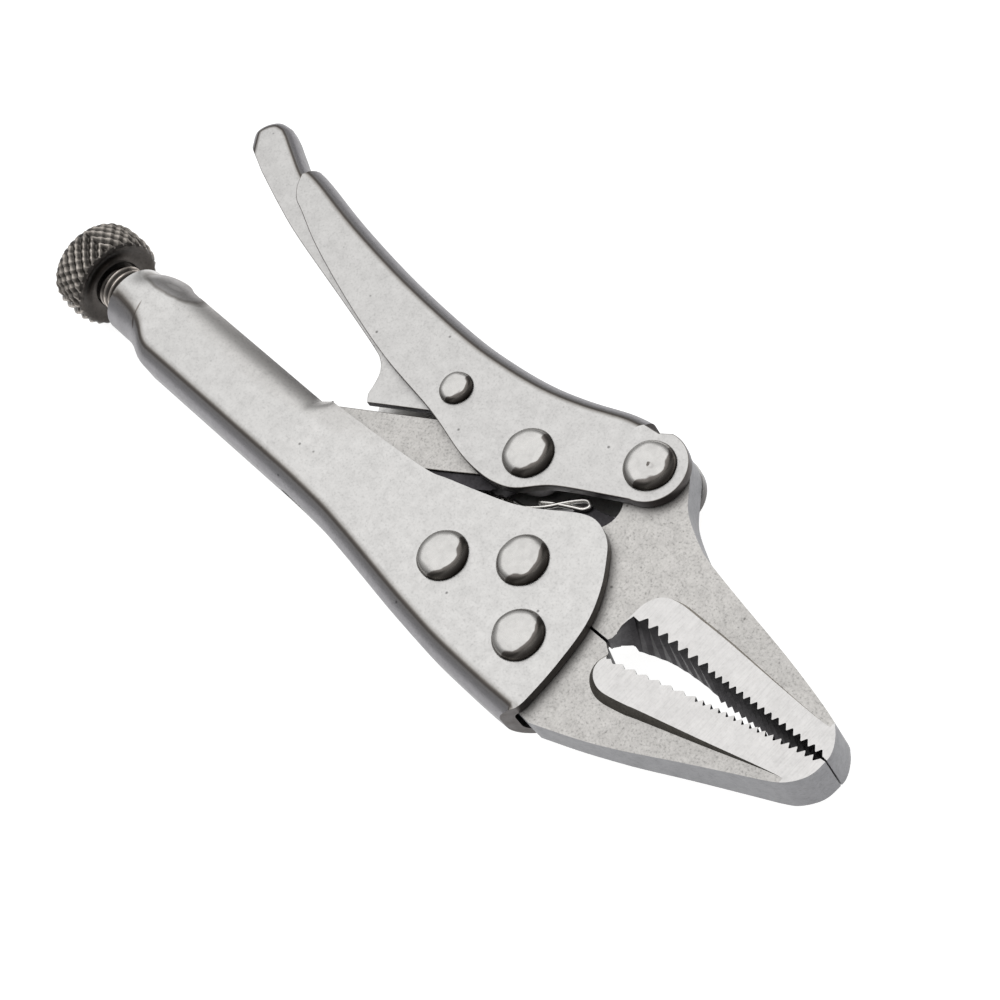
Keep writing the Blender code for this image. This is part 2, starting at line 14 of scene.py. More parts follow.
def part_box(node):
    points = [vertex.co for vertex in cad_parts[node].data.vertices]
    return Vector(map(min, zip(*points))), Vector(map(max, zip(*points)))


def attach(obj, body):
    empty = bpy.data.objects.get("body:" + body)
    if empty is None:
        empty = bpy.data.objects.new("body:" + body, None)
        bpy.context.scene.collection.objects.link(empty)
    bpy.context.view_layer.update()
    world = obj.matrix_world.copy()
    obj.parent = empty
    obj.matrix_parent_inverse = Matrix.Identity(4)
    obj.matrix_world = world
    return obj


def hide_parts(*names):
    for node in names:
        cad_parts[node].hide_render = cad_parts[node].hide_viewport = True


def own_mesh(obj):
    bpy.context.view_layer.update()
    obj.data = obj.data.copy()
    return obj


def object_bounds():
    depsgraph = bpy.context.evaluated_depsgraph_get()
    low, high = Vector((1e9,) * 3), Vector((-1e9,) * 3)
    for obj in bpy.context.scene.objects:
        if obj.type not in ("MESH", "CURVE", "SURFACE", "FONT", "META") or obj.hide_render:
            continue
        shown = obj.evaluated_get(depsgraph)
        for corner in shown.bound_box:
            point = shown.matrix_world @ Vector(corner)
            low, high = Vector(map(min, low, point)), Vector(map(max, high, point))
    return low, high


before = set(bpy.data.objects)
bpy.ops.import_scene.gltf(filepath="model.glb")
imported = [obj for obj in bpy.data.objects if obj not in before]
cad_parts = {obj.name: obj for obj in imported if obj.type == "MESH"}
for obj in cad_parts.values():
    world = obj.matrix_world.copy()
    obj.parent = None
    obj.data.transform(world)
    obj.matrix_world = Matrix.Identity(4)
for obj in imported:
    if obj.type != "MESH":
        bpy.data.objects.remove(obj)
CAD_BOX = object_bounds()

MM = 0.001
MERGE = 0.002       # points closer than this are one
LIFT = 1000.0 * 0.5 * (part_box("moving_jaw")[0].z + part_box("moving_jaw")[1].z)

# ---------------------------------------------------------------- sizes, most as in the CAD
SHEET = 1.25                    # thickness of the folded sheet
CHANNEL_HALF = 3.7              # half widths, from the mid-plane out
CHANNEL_INNER = CHANNEL_HALF - SHEET
PLATE_HALF = 2.2
PAD_HALF = 3.4
LINK_HALF = 1.6
RELEASE_HALF = 2.2
RELEASE_SHEET = 0.9
BEND = 2.6                      # outer radius of the handle's folds
FOLD_BEND = 1.9                 # outer radius of the lever's fold
GAP = 0.1                       # between a rivet's shank and its holes
JAW_PIVOT = (0.0, 0.0)
REAR_RIVET = (-8.3, -5.5)
LOWER_RIVET = (6.4, -6.7)
LEVER_PIVOT = (3.5, 17.5)
LINK_PIVOT = (-9.6, 9.9)
RELEASE_PIVOT = (-23.4, 10.5)
LINK_REAR = (-46.0, -6.1)
SCREW_AXIS = -6.1
SHANK = 1.9
SMALL_SHANK = 1.2
HEAD_GAP = 0.12                 # under the rivets' heads
HEAD, HEAD_HEIGHT = 3.2, 0.95
SMALL_HEAD, SMALL_HEAD_HEIGHT = 2.15, 0.75
KNOB_RADIUS = 6.45
KNOB_FRONT = -76.3
KNOB_REAR = -82.4
SCREW_RADIUS = 2.7
THREAD_DEPTH = 0.45
THREAD_PITCH = 1.0
LINK_END_RADIUS = 2.4
LINK_PLAY = 1.5                 # free space between the link's rear end and the screw's tip
NECK_END = -72.2
NECK_RADIUS = 4.5
TUBE_TOP = -0.2
TUBE_BOTTOM = -11.9
TUBE_HALF = 4.1
TUBE_ARC_TOP = TUBE_TOP + 0.27  # where the arcs of the tube's rolled edges would close
CURL_RADIUS = 2.6               # radius of the rolled edges, at its smallest
TUBE_CURL = CURL_RADIUS + 1.45
SLOT_HALF = 2.3                 # half width of the slit between them, at its smallest
TUBE_SLOT_HALF = SLOT_HALF + 0.35
SPRING_REAR = (-28.8, -8.9)
SPRING_FRONT = (0.2, 8.6)
WIRE = 0.3
COIL_RADIUS = 1.8
HOOK_RADIUS = 1.3
RIM = 0.13                      # rounding of the sheared edges


# ---------------------------------------------------------------- outlines
def arc(centre, radius, start, end, steps):
    angles = [math.radians(start + (end - start) * i / steps) for i in range(steps + 1)]
    return [(centre[0] + radius * math.cos(a), centre[1] + radius * math.sin(a)) for a in angles]


def smooth(points, steps=6):
    """Points on a smooth curve through the given points, of any number of coordinates."""
    padded = [points[0]] + list(points) + [points[-1]]
    out = []
    for before, a, b, after in zip(padded, padded[1:], padded[2:], padded[3:]):
        for i in range(steps):
            t = i / steps
            out.append(tuple(
                0.5 * (2 * a[k] + (b[k] - before[k]) * t
                       + (2 * before[k] - 5 * a[k] + 4 * b[k] - after[k]) * t * t
                       + (3 * a[k] - before[k] - 3 * b[k] + after[k]) * t ** 3)
                for k in range(len(a))))
    return out + [tuple(points[-1])]


def inset(points, distance):
    moved = []
    for i, point in enumerate(points):
        before = points[max(i - 1, 0)]
        after = points[min(i + 1, len(points) - 1)]
        along = Vector((after[0] - before[0], after[1] - before[1])).normalized()
        moved.append((point[0] - along.y * distance, point[1] + along.x * distance))
    return moved


def anticlockwise(points):
    area = sum(a[0] * b[1] - b[0] * a[1] for a, b in zip(points, points[1:] + points[:1]))
    return list(points) if area > 0 else list(reversed(points))


# ---------------------------------------------------------------- meshes
def new_object(name, mesh):
    made = bpy.data.objects.new(name, mesh)
    bpy.context.scene.collection.objects.link(made)
    return made


def baked(target):
    """Applies the object's modifiers and returns it."""
    bpy.context.view_layer.update()
    evaluated = target.evaluated_get(bpy.context.evaluated_depsgraph_get())
    mesh = bpy.data.meshes.new_from_object(evaluated)
    old = target.data
    target.modifiers.clear()
    target.data = mesh
    bpy.data.meshes.remove(old)
    return target


def plate(name, outline, low, high, rim=RIM, fold=(), bend=0.0, bend_steps=7, shift=None):
    """A plate in XY from low to high with rounded rims and, along the fold's points, a bend."""
    points = anticlockwise(outline)
    place = shift or (lambda x, y, z: (x, y, z))
    work = bmesh.new()
    bottom = [work.verts.new(place(x, y, low)) for x, y in points]
    top = [work.verts.new(place(x, y, high)) for x, y in points]
    work.faces.new(list(reversed(bottom)))
    work.faces.new(top)
    for i in range(len(points)):
        j = (i + 1) % len(points)
        work.faces.new((bottom[i], bottom[j], top[j], top[i]))
    work.normal_update()
    on_fold = {(round(x, 3), round(y, 3)) for x, y in fold}
    if fold:
        edges = [e for e in work.edges if abs(e.verts[0].co.z - e.verts[1].co.z) < 1e-4
                 and all((round(v.co.x, 3), round(v.co.y, 3)) in on_fold for v in e.verts)]
        bmesh.ops.bevel(work, geom=edges, offset=bend, segments=bend_steps, profile=0.5,
                        affect="EDGES", clamp_overlap=False)
    if rim:
        work.normal_update()
        edges = []
        for edge in work.edges:
            if len(edge.link_faces) != 2:
                continue
            flat = sorted(abs(f.normal.z) for f in edge.link_faces)
            if flat[0] < 0.3 and flat[1] > 0.99:
                edges.append(edge)
        bmesh.ops.bevel(work, geom=edges, offset=rim, segments=2, profile=0.5,
                        affect="EDGES", clamp_overlap=False)
    bmesh.ops.recalc_face_normals(work, faces=work.faces)
    mesh = bpy.data.meshes.new(name)
    work.to_mesh(mesh)
    work.free()
    return new_object(name, mesh)


def combine(target, other, operation):
    """Joins the other object to the target or cuts it out, and removes it."""
    change = target.modifiers.new("combine", "BOOLEAN")
    change.operation = operation
    change.solver = "EXACT"
    change.object = other
    baked(target)
    bpy.data.objects.remove(other, do_unlink=True)
    return target


def drill(target, centres, radius):
    for centre in centres:
        bit = plate("drill", arc(centre, radius, 0, 360 - 7.5, 47), -12, 12, rim=0)
        combine(target, bit, "DIFFERENCE")
    return target


def as_object(name, verts, faces):
    mesh = bpy.data.meshes.new(name)
    mesh.from_pydata(verts, [], faces)
    return cleaned(name, mesh)


def cleaned(name, mesh, merge=0.0):
    """The mesh as an object, its face normals pointing outward."""
    work = bmesh.new()
    work.from_mesh(mesh)
    if merge:
        bmesh.ops.remove_doubles(work, verts=work.verts, dist=merge)
    bmesh.ops.recalc_face_normals(work, faces=work.faces)
    work.to_mesh(mesh)
    work.free()
    return new_object(name, mesh)


def grid(name, rows, columns, point):
    """A tube-like closed surface: point(row, column), rows along it and columns round it."""
    verts = [point(i, j) for i in range(rows) for j in range(columns)]
    faces = []
    for i in range(rows - 1):
        for j in range(columns):
            a, b = i * columns + j, i * columns + (j + 1) % columns
            c = (i + 1) * columns
            faces.append((a, b, c + (j + 1) % columns, c + j))
    faces.append(tuple(reversed(range(columns))))
    faces.append(tuple(range((rows - 1) * columns, rows * columns)))
    return as_object(name, verts, faces)


def mark_points(piece, values, elsewhere):
    """Stores how high each point stands on a knurl or thread, for its material to read."""
    height = piece.data.attributes.new("knurl", "FLOAT", "POINT")
    height.data.foreach_set("value", [values.get(i, elsewhere) for i in range(len(height.data))])


def settle(piece, body, nodes, material, angle=32):
    """Puts a piece in the frame: metres, lifted, shaded, on its body, in place of its nodes."""
    baked(piece)
    mesh = piece.data
    for vertex in mesh.vertices:
        vertex.co = (vertex.co.x * MM, vertex.co.y * MM, (vertex.co.z + LIFT) * MM)
    mesh.shade_smooth()
    mesh.set_sharp_from_angle(angle=math.radians(angle))
    flat = piece.modifiers.new("flat", "WEIGHTED_NORMAL")
    flat.keep_sharp = True
    flat.weight = 100
    baked(piece)
    mesh = piece.data
    # Each corner's rest normal, which the materials read to paint shade and highlight by facing.
    facing = mesh.attributes.new("facing", "FLOAT_VECTOR", "CORNER")
    facing.data.foreach_set("vector", [c for n in mesh.corner_normals for c in n.vector])
    finishes = [face.material_index for face in mesh.polygons]
    mesh.materials.clear()
    for finish in material if isinstance(material, list) else [material]:
        mesh.materials.append(finish)
    mesh.polygons.foreach_set("material_index", finishes)
    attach(piece, body)
    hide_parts(*nodes)
    return piece


# ---------------------------------------------------------------- materials
def nodes_of(name):
    made = bpy.data.materials.new(name)
    made.use_nodes = True
    tree = made.node_tree
    return made, tree, tree.nodes["Principled BSDF"]


def node(tree, kind, **values):
    made = tree.nodes.new(kind)
    for key, value in values.items():
        if key in made.inputs:
            made.inputs[key].default_value = value
        else:
            setattr(made, key, value)
    return made


def ramp(tree, source, stops):
    made = tree.nodes.new("ShaderNodeValToRGB")
    elements = made.color_ramp.elements
    while len(elements) < len(stops):
        elements.new(0.5)
    for element, (place, colour) in zip(elements, stops):
        element.position = place
        element.color = (*colour, 1.0) if isinstance(colour, tuple) else (colour,) * 3 + (1.0,)
    tree.links.new(source, made.inputs["Fac"])
    return made.outputs["Color"]


def times(tree, a, b, factor=1.0):
    """One colour multiplied by another."""
    mix = tree.nodes.new("ShaderNodeMix")
    mix.data_type = "RGBA"
    mix.blend_type = "MULTIPLY"
    mix.inputs["Factor"].default_value = factor
    tree.links.new(a, mix.inputs["A"])
    tree.links.new(b, mix.inputs["B"])
    return mix.outputs["Result"]


def math_node(tree, operation, a, b):
    made = tree.nodes.new("ShaderNodeMath")
    made.operation = operation
    for socket, value in zip(made.inputs, (a, b)):
        if isinstance(value, (int, float)):
            socket.default_value = value
        else:
            tree.links.new(value, socket)
    return made.outputs["Value"]


# Painted shade, by how far a face leans away from +Z or -Z: FOLD paints a dark line where a fold
# starts and darker sides beyond it, and SOFT paints shade and highlight on the tube's rolled edges.
# FRONT paints shade on the sheared edges that face the nose, and the last ramp paints a shaded
# crescent on the side of a rivet's head that does.
FOLD = [(0.0, 1.0), (0.003, 0.96), (0.012, (0.84, 0.83, 0.82)), (0.026, (0.52, 0.50, 0.48)),
        (0.045, (0.22, 0.20, 0.185)), (0.07, (0.19, 0.175, 0.165)), (0.11, (0.48, 0.47, 0.48)),
        (0.2, (0.64, 0.635, 0.67)), (0.45, (0.56, 0.555, 0.59)), (1.0, (0.42, 0.415, 0.44))]
SOFT = [(0.0, 1.0), (0.03, 0.98), (0.08, 0.97), (0.15, (1.08, 1.075, 1.07)),
        (0.3, (1.32, 1.31, 1.31)), (0.6, (1.36, 1.35, 1.36)), (0.8, 1.0), (1.0, 0.6)]
FRONT = [(0.0, 1.0), (0.45, 1.0), (0.75, (0.42, 0.39, 0.36)), (1.0, (0.30, 0.28, 0.26))]
CRESCENT_SHADE = [(0.0, 1.0), (0.10, 1.0), (0.15, (0.28, 0.26, 0.25)), (0.34, (0.17, 0.16, 0.15)),
            (0.50, (0.42, 0.40, 0.38)), (0.68, (0.30, 0.28, 0.27)), (1.0, (0.12, 0.11, 0.10))]


def metal(name, colour, roughness, mottle=0.05, grain=0.5, pits=0.5, lean=FOLD, lean_up=None,
          front=None, brushed=None, marks=(), valleys=None):
    """Plated or ground steel: mottling, fine grain, small pits, and painted shade on turned-away
    sides.

    brushed is how far the grinding lines are drawn out.  marks are soft-edged patches of painted
    shade and highlight, standing in for the shading of pressed dents and creases: a centre, half
    sizes, a turn in degrees, and the shading from the middle outward.  valleys paints shade in a
    knurl's or thread's valleys and a highlight on its crests.
    """
    made, tree, shader = nodes_of(name)
    shader.inputs["Metallic"].default_value = 1.0
    place = node(tree, "ShaderNodeTexCoord").outputs["Object"]

    def noise(size_mm, detail=4.0, rough=0.6, vector=place):
        made_noise = node(tree, "ShaderNodeTexNoise", Scale=1000.0 / size_mm, Detail=detail,
                          Roughness=rough)
        tree.links.new(vector, made_noise.inputs["Vector"])
        return made_noise.outputs["Fac"]

    patches = noise(1.5, 6.0, 0.75)
    fine = noise(0.30, 4.0, 0.7)
    base = ramp(tree, patches, [(0.3, tuple(c * (1 - mottle) for c in colour)),
                                (0.52, colour),
                                (0.75, tuple(min(1.0, c * (1 + 0.6 * mottle)) for c in colour))])
    speckle = ramp(tree, fine, [(0.30, 1 - 0.5 * grain), (0.46, 1 - 0.05 * grain), (0.54, 1.0),
                                (0.72, 1.0 + 0.12 * grain)])
    base = times(tree, base, speckle)
    height = math_node(tree, "MULTIPLY", fine, 0.5 * grain)
    if pits:
        cells = node(tree, "ShaderNodeTexVoronoi", Scale=1000.0 / 2.1, Randomness=1.0)
        tree.links.new(place, cells.inputs["Vector"])
        where = ramp(tree, cells.outputs["Distance"], [(0.045, 0.2), (0.11, 1.0)])
        kept = node(tree, "ShaderNodeSeparateColor")
        tree.links.new(cells.outputs["Color"], kept.inputs["Color"])
        some = ramp(tree, kept.outputs["Red"], [(0.0, 1.0), (1 - pits * 0.45, 1.0),
                                                (1.001 - pits * 0.45, 0.0)])
        dark = node(tree, "ShaderNodeMix", data_type="RGBA", blend_type="LIGHTEN")
        dark.inputs["Factor"].default_value = 1.0
        tree.links.new(where, dark.inputs["A"])
        tree.links.new(some, dark.inputs["B"])
        base = times(tree, base, dark.outputs["Result"], 0.75)
    if brushed:
        stretch = node(tree, "ShaderNodeMapping")
        stretch.inputs["Scale"].default_value = (1.0, brushed, 1.0)
        tree.links.new(place, stretch.inputs["Vector"])
        lines = noise(0.14, 2.0, 0.5, stretch.outputs["Vector"])
        base = times(tree, base, ramp(tree, lines, [(0.3, 0.93), (0.5, 1.0), (0.7, 1.03)]))
        height = math_node(tree, "ADD", height, math_node(tree, "MULTIPLY", lines, 0.2))
    # Painted shade and highlight by facing: each corner's rest normal sets how much the colour is
    # darkened or lightened.
    if lean:
        facing = node(tree, "ShaderNodeAttribute", attribute_name="facing")
        axes = node(tree, "ShaderNodeSeparateXYZ")
        tree.links.new(facing.outputs["Vector"], axes.inputs["Vector"])
        upright = math_node(tree, "ABSOLUTE", axes.outputs["Z"], 0.0)
        leaning = math_node(tree, "SUBTRACT", 1.0, upright)
        shade = ramp(tree, leaning, lean)
        if lean_up:
            pick = node(tree, "ShaderNodeMix", data_type="RGBA")
            tree.links.new(math_node(tree, "GREATER_THAN", axes.outputs["Y"], 0.0),
                           pick.inputs["Factor"])
            tree.links.new(shade, pick.inputs["A"])
            tree.links.new(ramp(tree, leaning, lean_up), pick.inputs["B"])
            shade = pick.outputs["Result"]
        base = times(tree, base, shade)
        # Painted shade on faces that turn toward the nose (+X), with an uneven edge.
        if front:
            uneven = math_node(tree, "MULTIPLY_ADD", noise(1.1, 1.0, 0.4), 0.16)
            uneven.node.inputs[2].default_value = -0.08
            towards_nose = math_node(tree, "ADD", axes.outputs["X"], uneven)
            base = times(tree, base, ramp(tree, towards_nose, front))
    # Painted shade and highlight in soft-edged patches.
    for centre, half, turn, stops in marks:
        around = node(tree, "ShaderNodeMapping", vector_type="TEXTURE")
        around.inputs["Location"].default_value = (centre[0] * MM, centre[1] * MM,
                                                   (centre[2] + LIFT) * MM)
        around.inputs["Rotation"].default_value = (0.0, 0.0, math.radians(turn))
        around.inputs["Scale"].default_value = tuple(h * MM for h in half)
        tree.links.new(place, around.inputs["Vector"])
        distance = node(tree, "ShaderNodeVectorMath", operation="LENGTH")
        tree.links.new(around.outputs["Vector"], distance.inputs[0])
        wobble = math_node(tree, "MULTIPLY_ADD", noise(1.6, 2.0, 0.5), 0.22)
        wobble.node.inputs[2].default_value = -0.11
        away = math_node(tree, "ADD", distance.outputs["Value"], wobble)
        base = times(tree, base, ramp(tree, math_node(tree, "MULTIPLY", away, 0.5), stops))
    # Painted shade in the valleys and painted highlight on the crests, from the stored height.
    if valleys:
        deep = node(tree, "ShaderNodeAttribute", attribute_name="knurl")
        base = times(tree, base, ramp(tree, deep.outputs["Fac"], valleys))
    tree.links.new(base, shader.inputs["Base Color"])
    rough = ramp(tree, patches, [(0.3, min(1.0, roughness + 0.06)), (0.7, roughness - 0.04)])
    tree.links.new(rough, shader.inputs["Roughness"])
    bump = node(tree, "ShaderNodeBump", Strength=0.35, Distance=0.00006)
    tree.links.new(height, bump.inputs["Height"])
    tree.links.new(bump.outputs["Normal"], shader.inputs["Normal"])
    return made


NICKEL = metal("satin_nickel", (0.497, 0.490, 0.481), 0.40, grain=0.4, front=FRONT)
# Ramps for the tube's marks, all painted light: painted shade over the pressed facet with a dark
# line at its edge, painted shade along the shoulder's creases, a painted glint on the facet, and
# painted shade over the tube's upper part.
PRESSED_FACET_SHADE = [(0.0, (0.52, 0.515, 0.52)), (0.38, (0.56, 0.555, 0.56)), (0.45, (0.40, 0.385, 0.375)),
           (0.50, (0.62, 0.61, 0.60)), (0.56, 1.0)]
CREASE_SHADE = [(0.0, (0.35, 0.32, 0.30)), (0.3, (0.5, 0.47, 0.45)), (0.5, 1.0)]
GLINT = [(0.0, 1.45), (0.3, 1.35), (0.5, 1.0)]
SHADE = [(0.0, (0.70, 0.69, 0.685)), (0.15, (0.73, 0.72, 0.715)), (0.28, (0.81, 0.80, 0.795)),
         (0.42, (0.94, 0.935, 0.93)), (0.5, 1.0)]
# The tube's finish carries these painted marks and, through SOFT, painted shade and highlight on its
# rolled edges.
TUBE = metal("satin_nickel_tube", (0.527, 0.520, 0.510), 0.40, grain=0.4, lean_up=SOFT,
             front=FRONT, marks=[
                 ((-66.2, -1.9, 3.4), (5.4, 1.75, 2.6), 9, PRESSED_FACET_SHADE),
                 ((-66.0, -2.1, 3.4), (1.5, 0.34, 2.0), 12, GLINT),
                 ((-67.35, -7.1, 4.0), (1.25, 0.16, 2.0), -72, CREASE_SHADE),
                 ((-66.6, -8.9, 4.0), (0.9, 0.20, 2.0), -50, CREASE_SHADE),
                 ((-50.0, 0.6, 3.7), (25.0, 5.6, 20.0), 0, SHADE)])
FLANGE = metal("satin_jaw_steel", (0.490, 0.477, 0.460), 0.46, mottle=0.08, grain=0.9, pits=0.7)
PAD = metal("ground_jaw_steel", (0.55, 0.54, 0.532), 0.40, mottle=0.02, grain=0.2, pits=0.12,
            brushed=0.06, lean=None)
# Painted shade: the pad walls take this dark brown where they face -Y, and are painted 3.4 times
# lighter where they face +Y.
WALL = metal("shaded_wall_steel", (0.15, 0.14, 0.125), 0.55, mottle=0.2, grain=0.6, pits=0,
             lean=[(0.0, 1.0), (1.0, 1.0)], lean_up=[(0.0, 3.4), (1.0, 3.4)])
# Painted shadow: the gripping faces, the throat, the horn's notch and the link's rib take this
# near-black.
GRIP = metal("shadowed_grip_steel", (0.055, 0.052, 0.056), 0.5, mottle=0.3, grain=0.5, pits=0,
             lean=None)
# Painted shade: a darker copy of the jaw steel for the jaws' outer sides and nose.
SIDE = metal("shaded_side_steel", (0.24, 0.24, 0.25), 0.45, mottle=0.08, grain=0.5, pits=0, lean=None)
# Painted shade on the rivet heads: darker toward the steep rim, and a dark crescent on the side that
# faces the nose.
RIVET = metal("polished_rivet_steel", (0.46, 0.452, 0.44), 0.27, mottle=0.12, grain=0.06,
              pits=0, lean=[(0.0, 1.0), (0.15, (0.92, 0.91, 0.9)), (0.45, (0.6, 0.58, 0.56)),
                            (0.7, (0.28, 0.26, 0.25)), (1.0, (0.10, 0.09, 0.09))],
              front=CRESCENT_SHADE)
DARK = metal("dark_screw_steel", (0.075, 0.068, 0.063), 0.34, mottle=0.25, grain=0.6, pits=0,
             lean=None)
# Painted shade in the knurl's valleys and a painted highlight on its ridge tops, from the stored
# knurl height.
KNURL = metal("dark_knurl_steel", (0.36, 0.33, 0.30), 0.33, mottle=0.3, grain=0.6, pits=0,
              lean=None, valleys=[(0.0, 0.16), (0.45, 0.30), (0.8, 0.95), (1.0, 1.15)])
# Painted shade in the thread's roots and a painted highlight on its crests, from the stored crest
# height.
THREAD = metal("thread_steel", (0.62, 0.56, 0.51), 0.28, mottle=0.2, grain=0.3, pits=0, lean=None,
               valleys=[(0.0, 0.12), (0.5, 0.25), (0.8, 0.8), (1.0, 1.2)])
SPRING = metal("spring_steel", (0.72, 0.70, 0.67), 0.24, mottle=0.08, grain=0.2, pits=0,
               lean=None)


# ---------------------------------------------------------------- fixed handle
def handle_section(top, bottom, half, top_radius, bend, curl, slot):
    """One side's outer points, from the top edge down to the fold; curl rolls the edge in."""
    roll_steps = 14
    bend_steps = 9
    centre_y = top - top_radius
    centre_z = half - top_radius
    reach = math.degrees(math.acos(max(-1.0, min(1.0, (slot - centre_z) / top_radius))))
    points = []
    for i in range(roll_steps, -1, -1):
        angle = math.radians(reach * i / roll_steps)
        rolled = (centre_y + top_radius * math.sin(angle), centre_z + top_radius * math.cos(angle))
        straight = (centre_y + (top - centre_y) * i / roll_steps, half)
        points.append(tuple(curl * r + (1.0 - curl) * s for r, s in zip(rolled, straight)))
    for i in range(bend_steps + 1):
        angle = math.radians(90.0 * i / bend_steps)
        points.append((bottom + bend - bend * math.sin(angle), half - bend + bend * math.cos(angle)))
    return points


def between(stations, step):
    """Sections every step along x, on smooth curves through the given stations."""
    xs = [x for x, _ in stations]
    rows = [tuple(map(float, shape)) for _, shape in stations]
    slopes = []
    for i in range(len(xs)):
        slope = []
        for k in range(len(rows[0])):
            left = (rows[i][k] - rows[i - 1][k]) / (xs[i] - xs[i - 1]) if i else 0.0
            right = ((rows[i + 1][k] - rows[i][k]) / (xs[i + 1] - xs[i])
                     if i < len(xs) - 1 else 0.0)
            slope.append(2 * left * right / (left + right) if left * right > 0 else 0.0)
        slopes.append(slope)
    out = []
    for i in range(len(xs) - 1):
        span = xs[i + 1] - xs[i]
        count = max(1, round(span / step))
        for n in range(count):
            t = n / count
            h00, h10 = 2 * t ** 3 - 3 * t ** 2 + 1, t ** 3 - 2 * t ** 2 + t
            h01, h11 = 3 * t ** 2 - 2 * t ** 3, t ** 3 - t ** 2
            out.append((xs[i] + span * t, tuple(
                h00 * a + h10 * span * sa + h01 * b + h11 * span * sb
                for a, b, sa, sb in zip(rows[i], rows[i + 1], slopes[i], slopes[i + 1]))))
    return out + [(xs[-1], rows[-1])]


HANDLE_FRONT = (
    smooth([(-35.6, -0.2), (-32.7, -0.1), (-19.3, 0.75), (-14.9, 1.75), (-7.9, 3.7), (-4.8, 4.9),
            (-2.6, 6.1), (1.2, 8.3), (3.6, 8.8), (6.1, 7.9), (7.9, 6.1), (10.1, 3.0),
            (11.8, -1.0), (12.6, -6.5), (12.8, -11.6), (12.5, -13.0)], 5)
    + [(11.4, -14.2), (9.6, -16.0)])


def make_fixed_handle():
    ring = (SCREW_AXIS + NECK_RADIUS, SCREW_AXIS - NECK_RADIUS, NECK_RADIUS,
            NECK_RADIUS, NECK_RADIUS, 1.0, 0.25)
    tube = (TUBE_ARC_TOP, TUBE_BOTTOM, TUBE_HALF, TUBE_CURL, BEND, 1.0, TUBE_SLOT_HALF)

    def shoulder(t, top, bottom):
        return (top, bottom) + tuple(a + (b - a) * t for a, b in zip(ring[2:], tube[2:]))

    def open_channel(top, bottom, half=CHANNEL_HALF):
        return (top, bottom, half, CURL_RADIUS, BEND, 0.0, SLOT_HALF)

    stations = [
        (NECK_END, ring), (-71.2, ring), (-69.8, shoulder(0.08, -0.95, -10.6)),
        (-68.4, shoulder(0.2, -0.5, -10.6)), (-66.8, shoulder(0.42, -0.25, -10.75)),
        (-65.2, shoulder(0.68, -0.15, -11.15)), (-63.8, shoulder(0.9, -0.15, -11.65)),
        (-62.2, tube), (-37.2, tube),
        (-36.0, (0.1, TUBE_BOTTOM, TUBE_HALF, CURL_RADIUS + 0.4, BEND, 0.75, SLOT_HALF)),
        (-34.6, open_channel(0.6, TUBE_BOTTOM, 4.05)), (-27.0, open_channel(2.0, -12.1)),
        (-21.5, open_channel(3.0, -12.6)), (-16.6, open_channel(5.0, -13.2)),
        (-8.3, open_channel(12.0, -14.2)), (0.0, open_channel(12.0, -14.85)),
        (7.0, open_channel(12.0, -14.95)), (14.5, open_channel(12.0, -14.8)),
    ]
    work = bmesh.new()
    rows = []
    for x, shape in between(stations, 0.9):
        half = handle_section(*shape)
        whole = half + [(y, -z) for y, z in reversed(half)]
        rows.append([work.verts.new((x, y, z)) for y, z in whole])
    for row, following in zip(rows, rows[1:]):
        for a, b, c, d in zip(row, row[1:], following[1:], following):
            work.faces.new((a, d, c, b))
    bmesh.ops.remove_doubles(work, verts=work.verts, dist=MERGE)
    bmesh.ops.recalc_face_normals(work, faces=work.faces)
    mesh = bpy.data.meshes.new("folded_handle")
    work.to_mesh(mesh)
    work.free()
    handle = new_object("folded_handle", mesh)
    shell = handle.modifiers.new("sheet", "SOLIDIFY")
    shell.thickness = SHEET
    shell.offset = -1.0
    shell.use_even_offset = True
    baked(handle)
    side = HANDLE_FRONT + [(-80.0, -16.0), (-80.0, 1.0), (-36.4, 1.0)]
    combine(handle, plate("handle_side", side, -9, 9, rim=0), "INTERSECT")
    tab = plate("tab", [(-29.5, TUBE_BOTTOM + 0.4), (-28.3, TUBE_BOTTOM + 0.4), (-28.3, -7.6),
                        (-29.5, -7.6)], -0.6, 0.6, rim=0)
    combine(handle, tab, "UNION")
    slit = plate("slit", arc((-33.0, 0.0), 1.1, 90, 270, 12) + [(-29.5, -1.1), (-29.5, 1.1)],
                 10.0, 14.0, rim=0)
    slit.rotation_euler = (math.radians(90), 0.0, 0.0)
    combine(handle, slit, "DIFFERENCE")
    drill(handle, [JAW_PIVOT, REAR_RIVET, LOWER_RIVET], SHANK + GAP)
    rounding = handle.modifiers.new("rim", "BEVEL")
    rounding.width = RIM
    rounding.segments = 2
    rounding.limit_method = "ANGLE"
    rounding.angle_limit = math.radians(55)
    rounding.use_clamp_overlap = True
    return settle(handle, "handle", ["fixed_handle"], TUBE)


# ---------------------------------------------------------------- jaws
TEETH_START, TEETH_CHANGE, TEETH_END = 16.2, 26.9, 43.5
LOWER_TEETH_START, LOWER_TEETH_CHANGE = 16.9, 27.7
COARSE_TEETH, FINE_TEETH = 7, 16
COARSE_DEPTH, FINE_DEPTH, LOWER_COARSE_DEPTH = 0.85, 0.6, 0.42
MEET = 4.5
TIP_GAP = 0.1
UPPER_TIP, UPPER_TIP_CHANGE = 3.2, 3.7      # heights of the teeth's tips, where they start and
LOWER_TIP, LOWER_TIP_CHANGE = -2.0, 0.9     # where the coarse teeth give way to the fine ones
GRIP_LEAN = 0.11        # the gripping faces lean: lower at the far side, by this much per mm
THROAT_FAR = [(12.0, 0.6), (15.4, 1.65), (16.9, 2.2), (19.0, 2.85), (21.5, 3.2), (24.0, 3.35),
              (26.9, 3.3)]      # the upper throat's edge on the far side
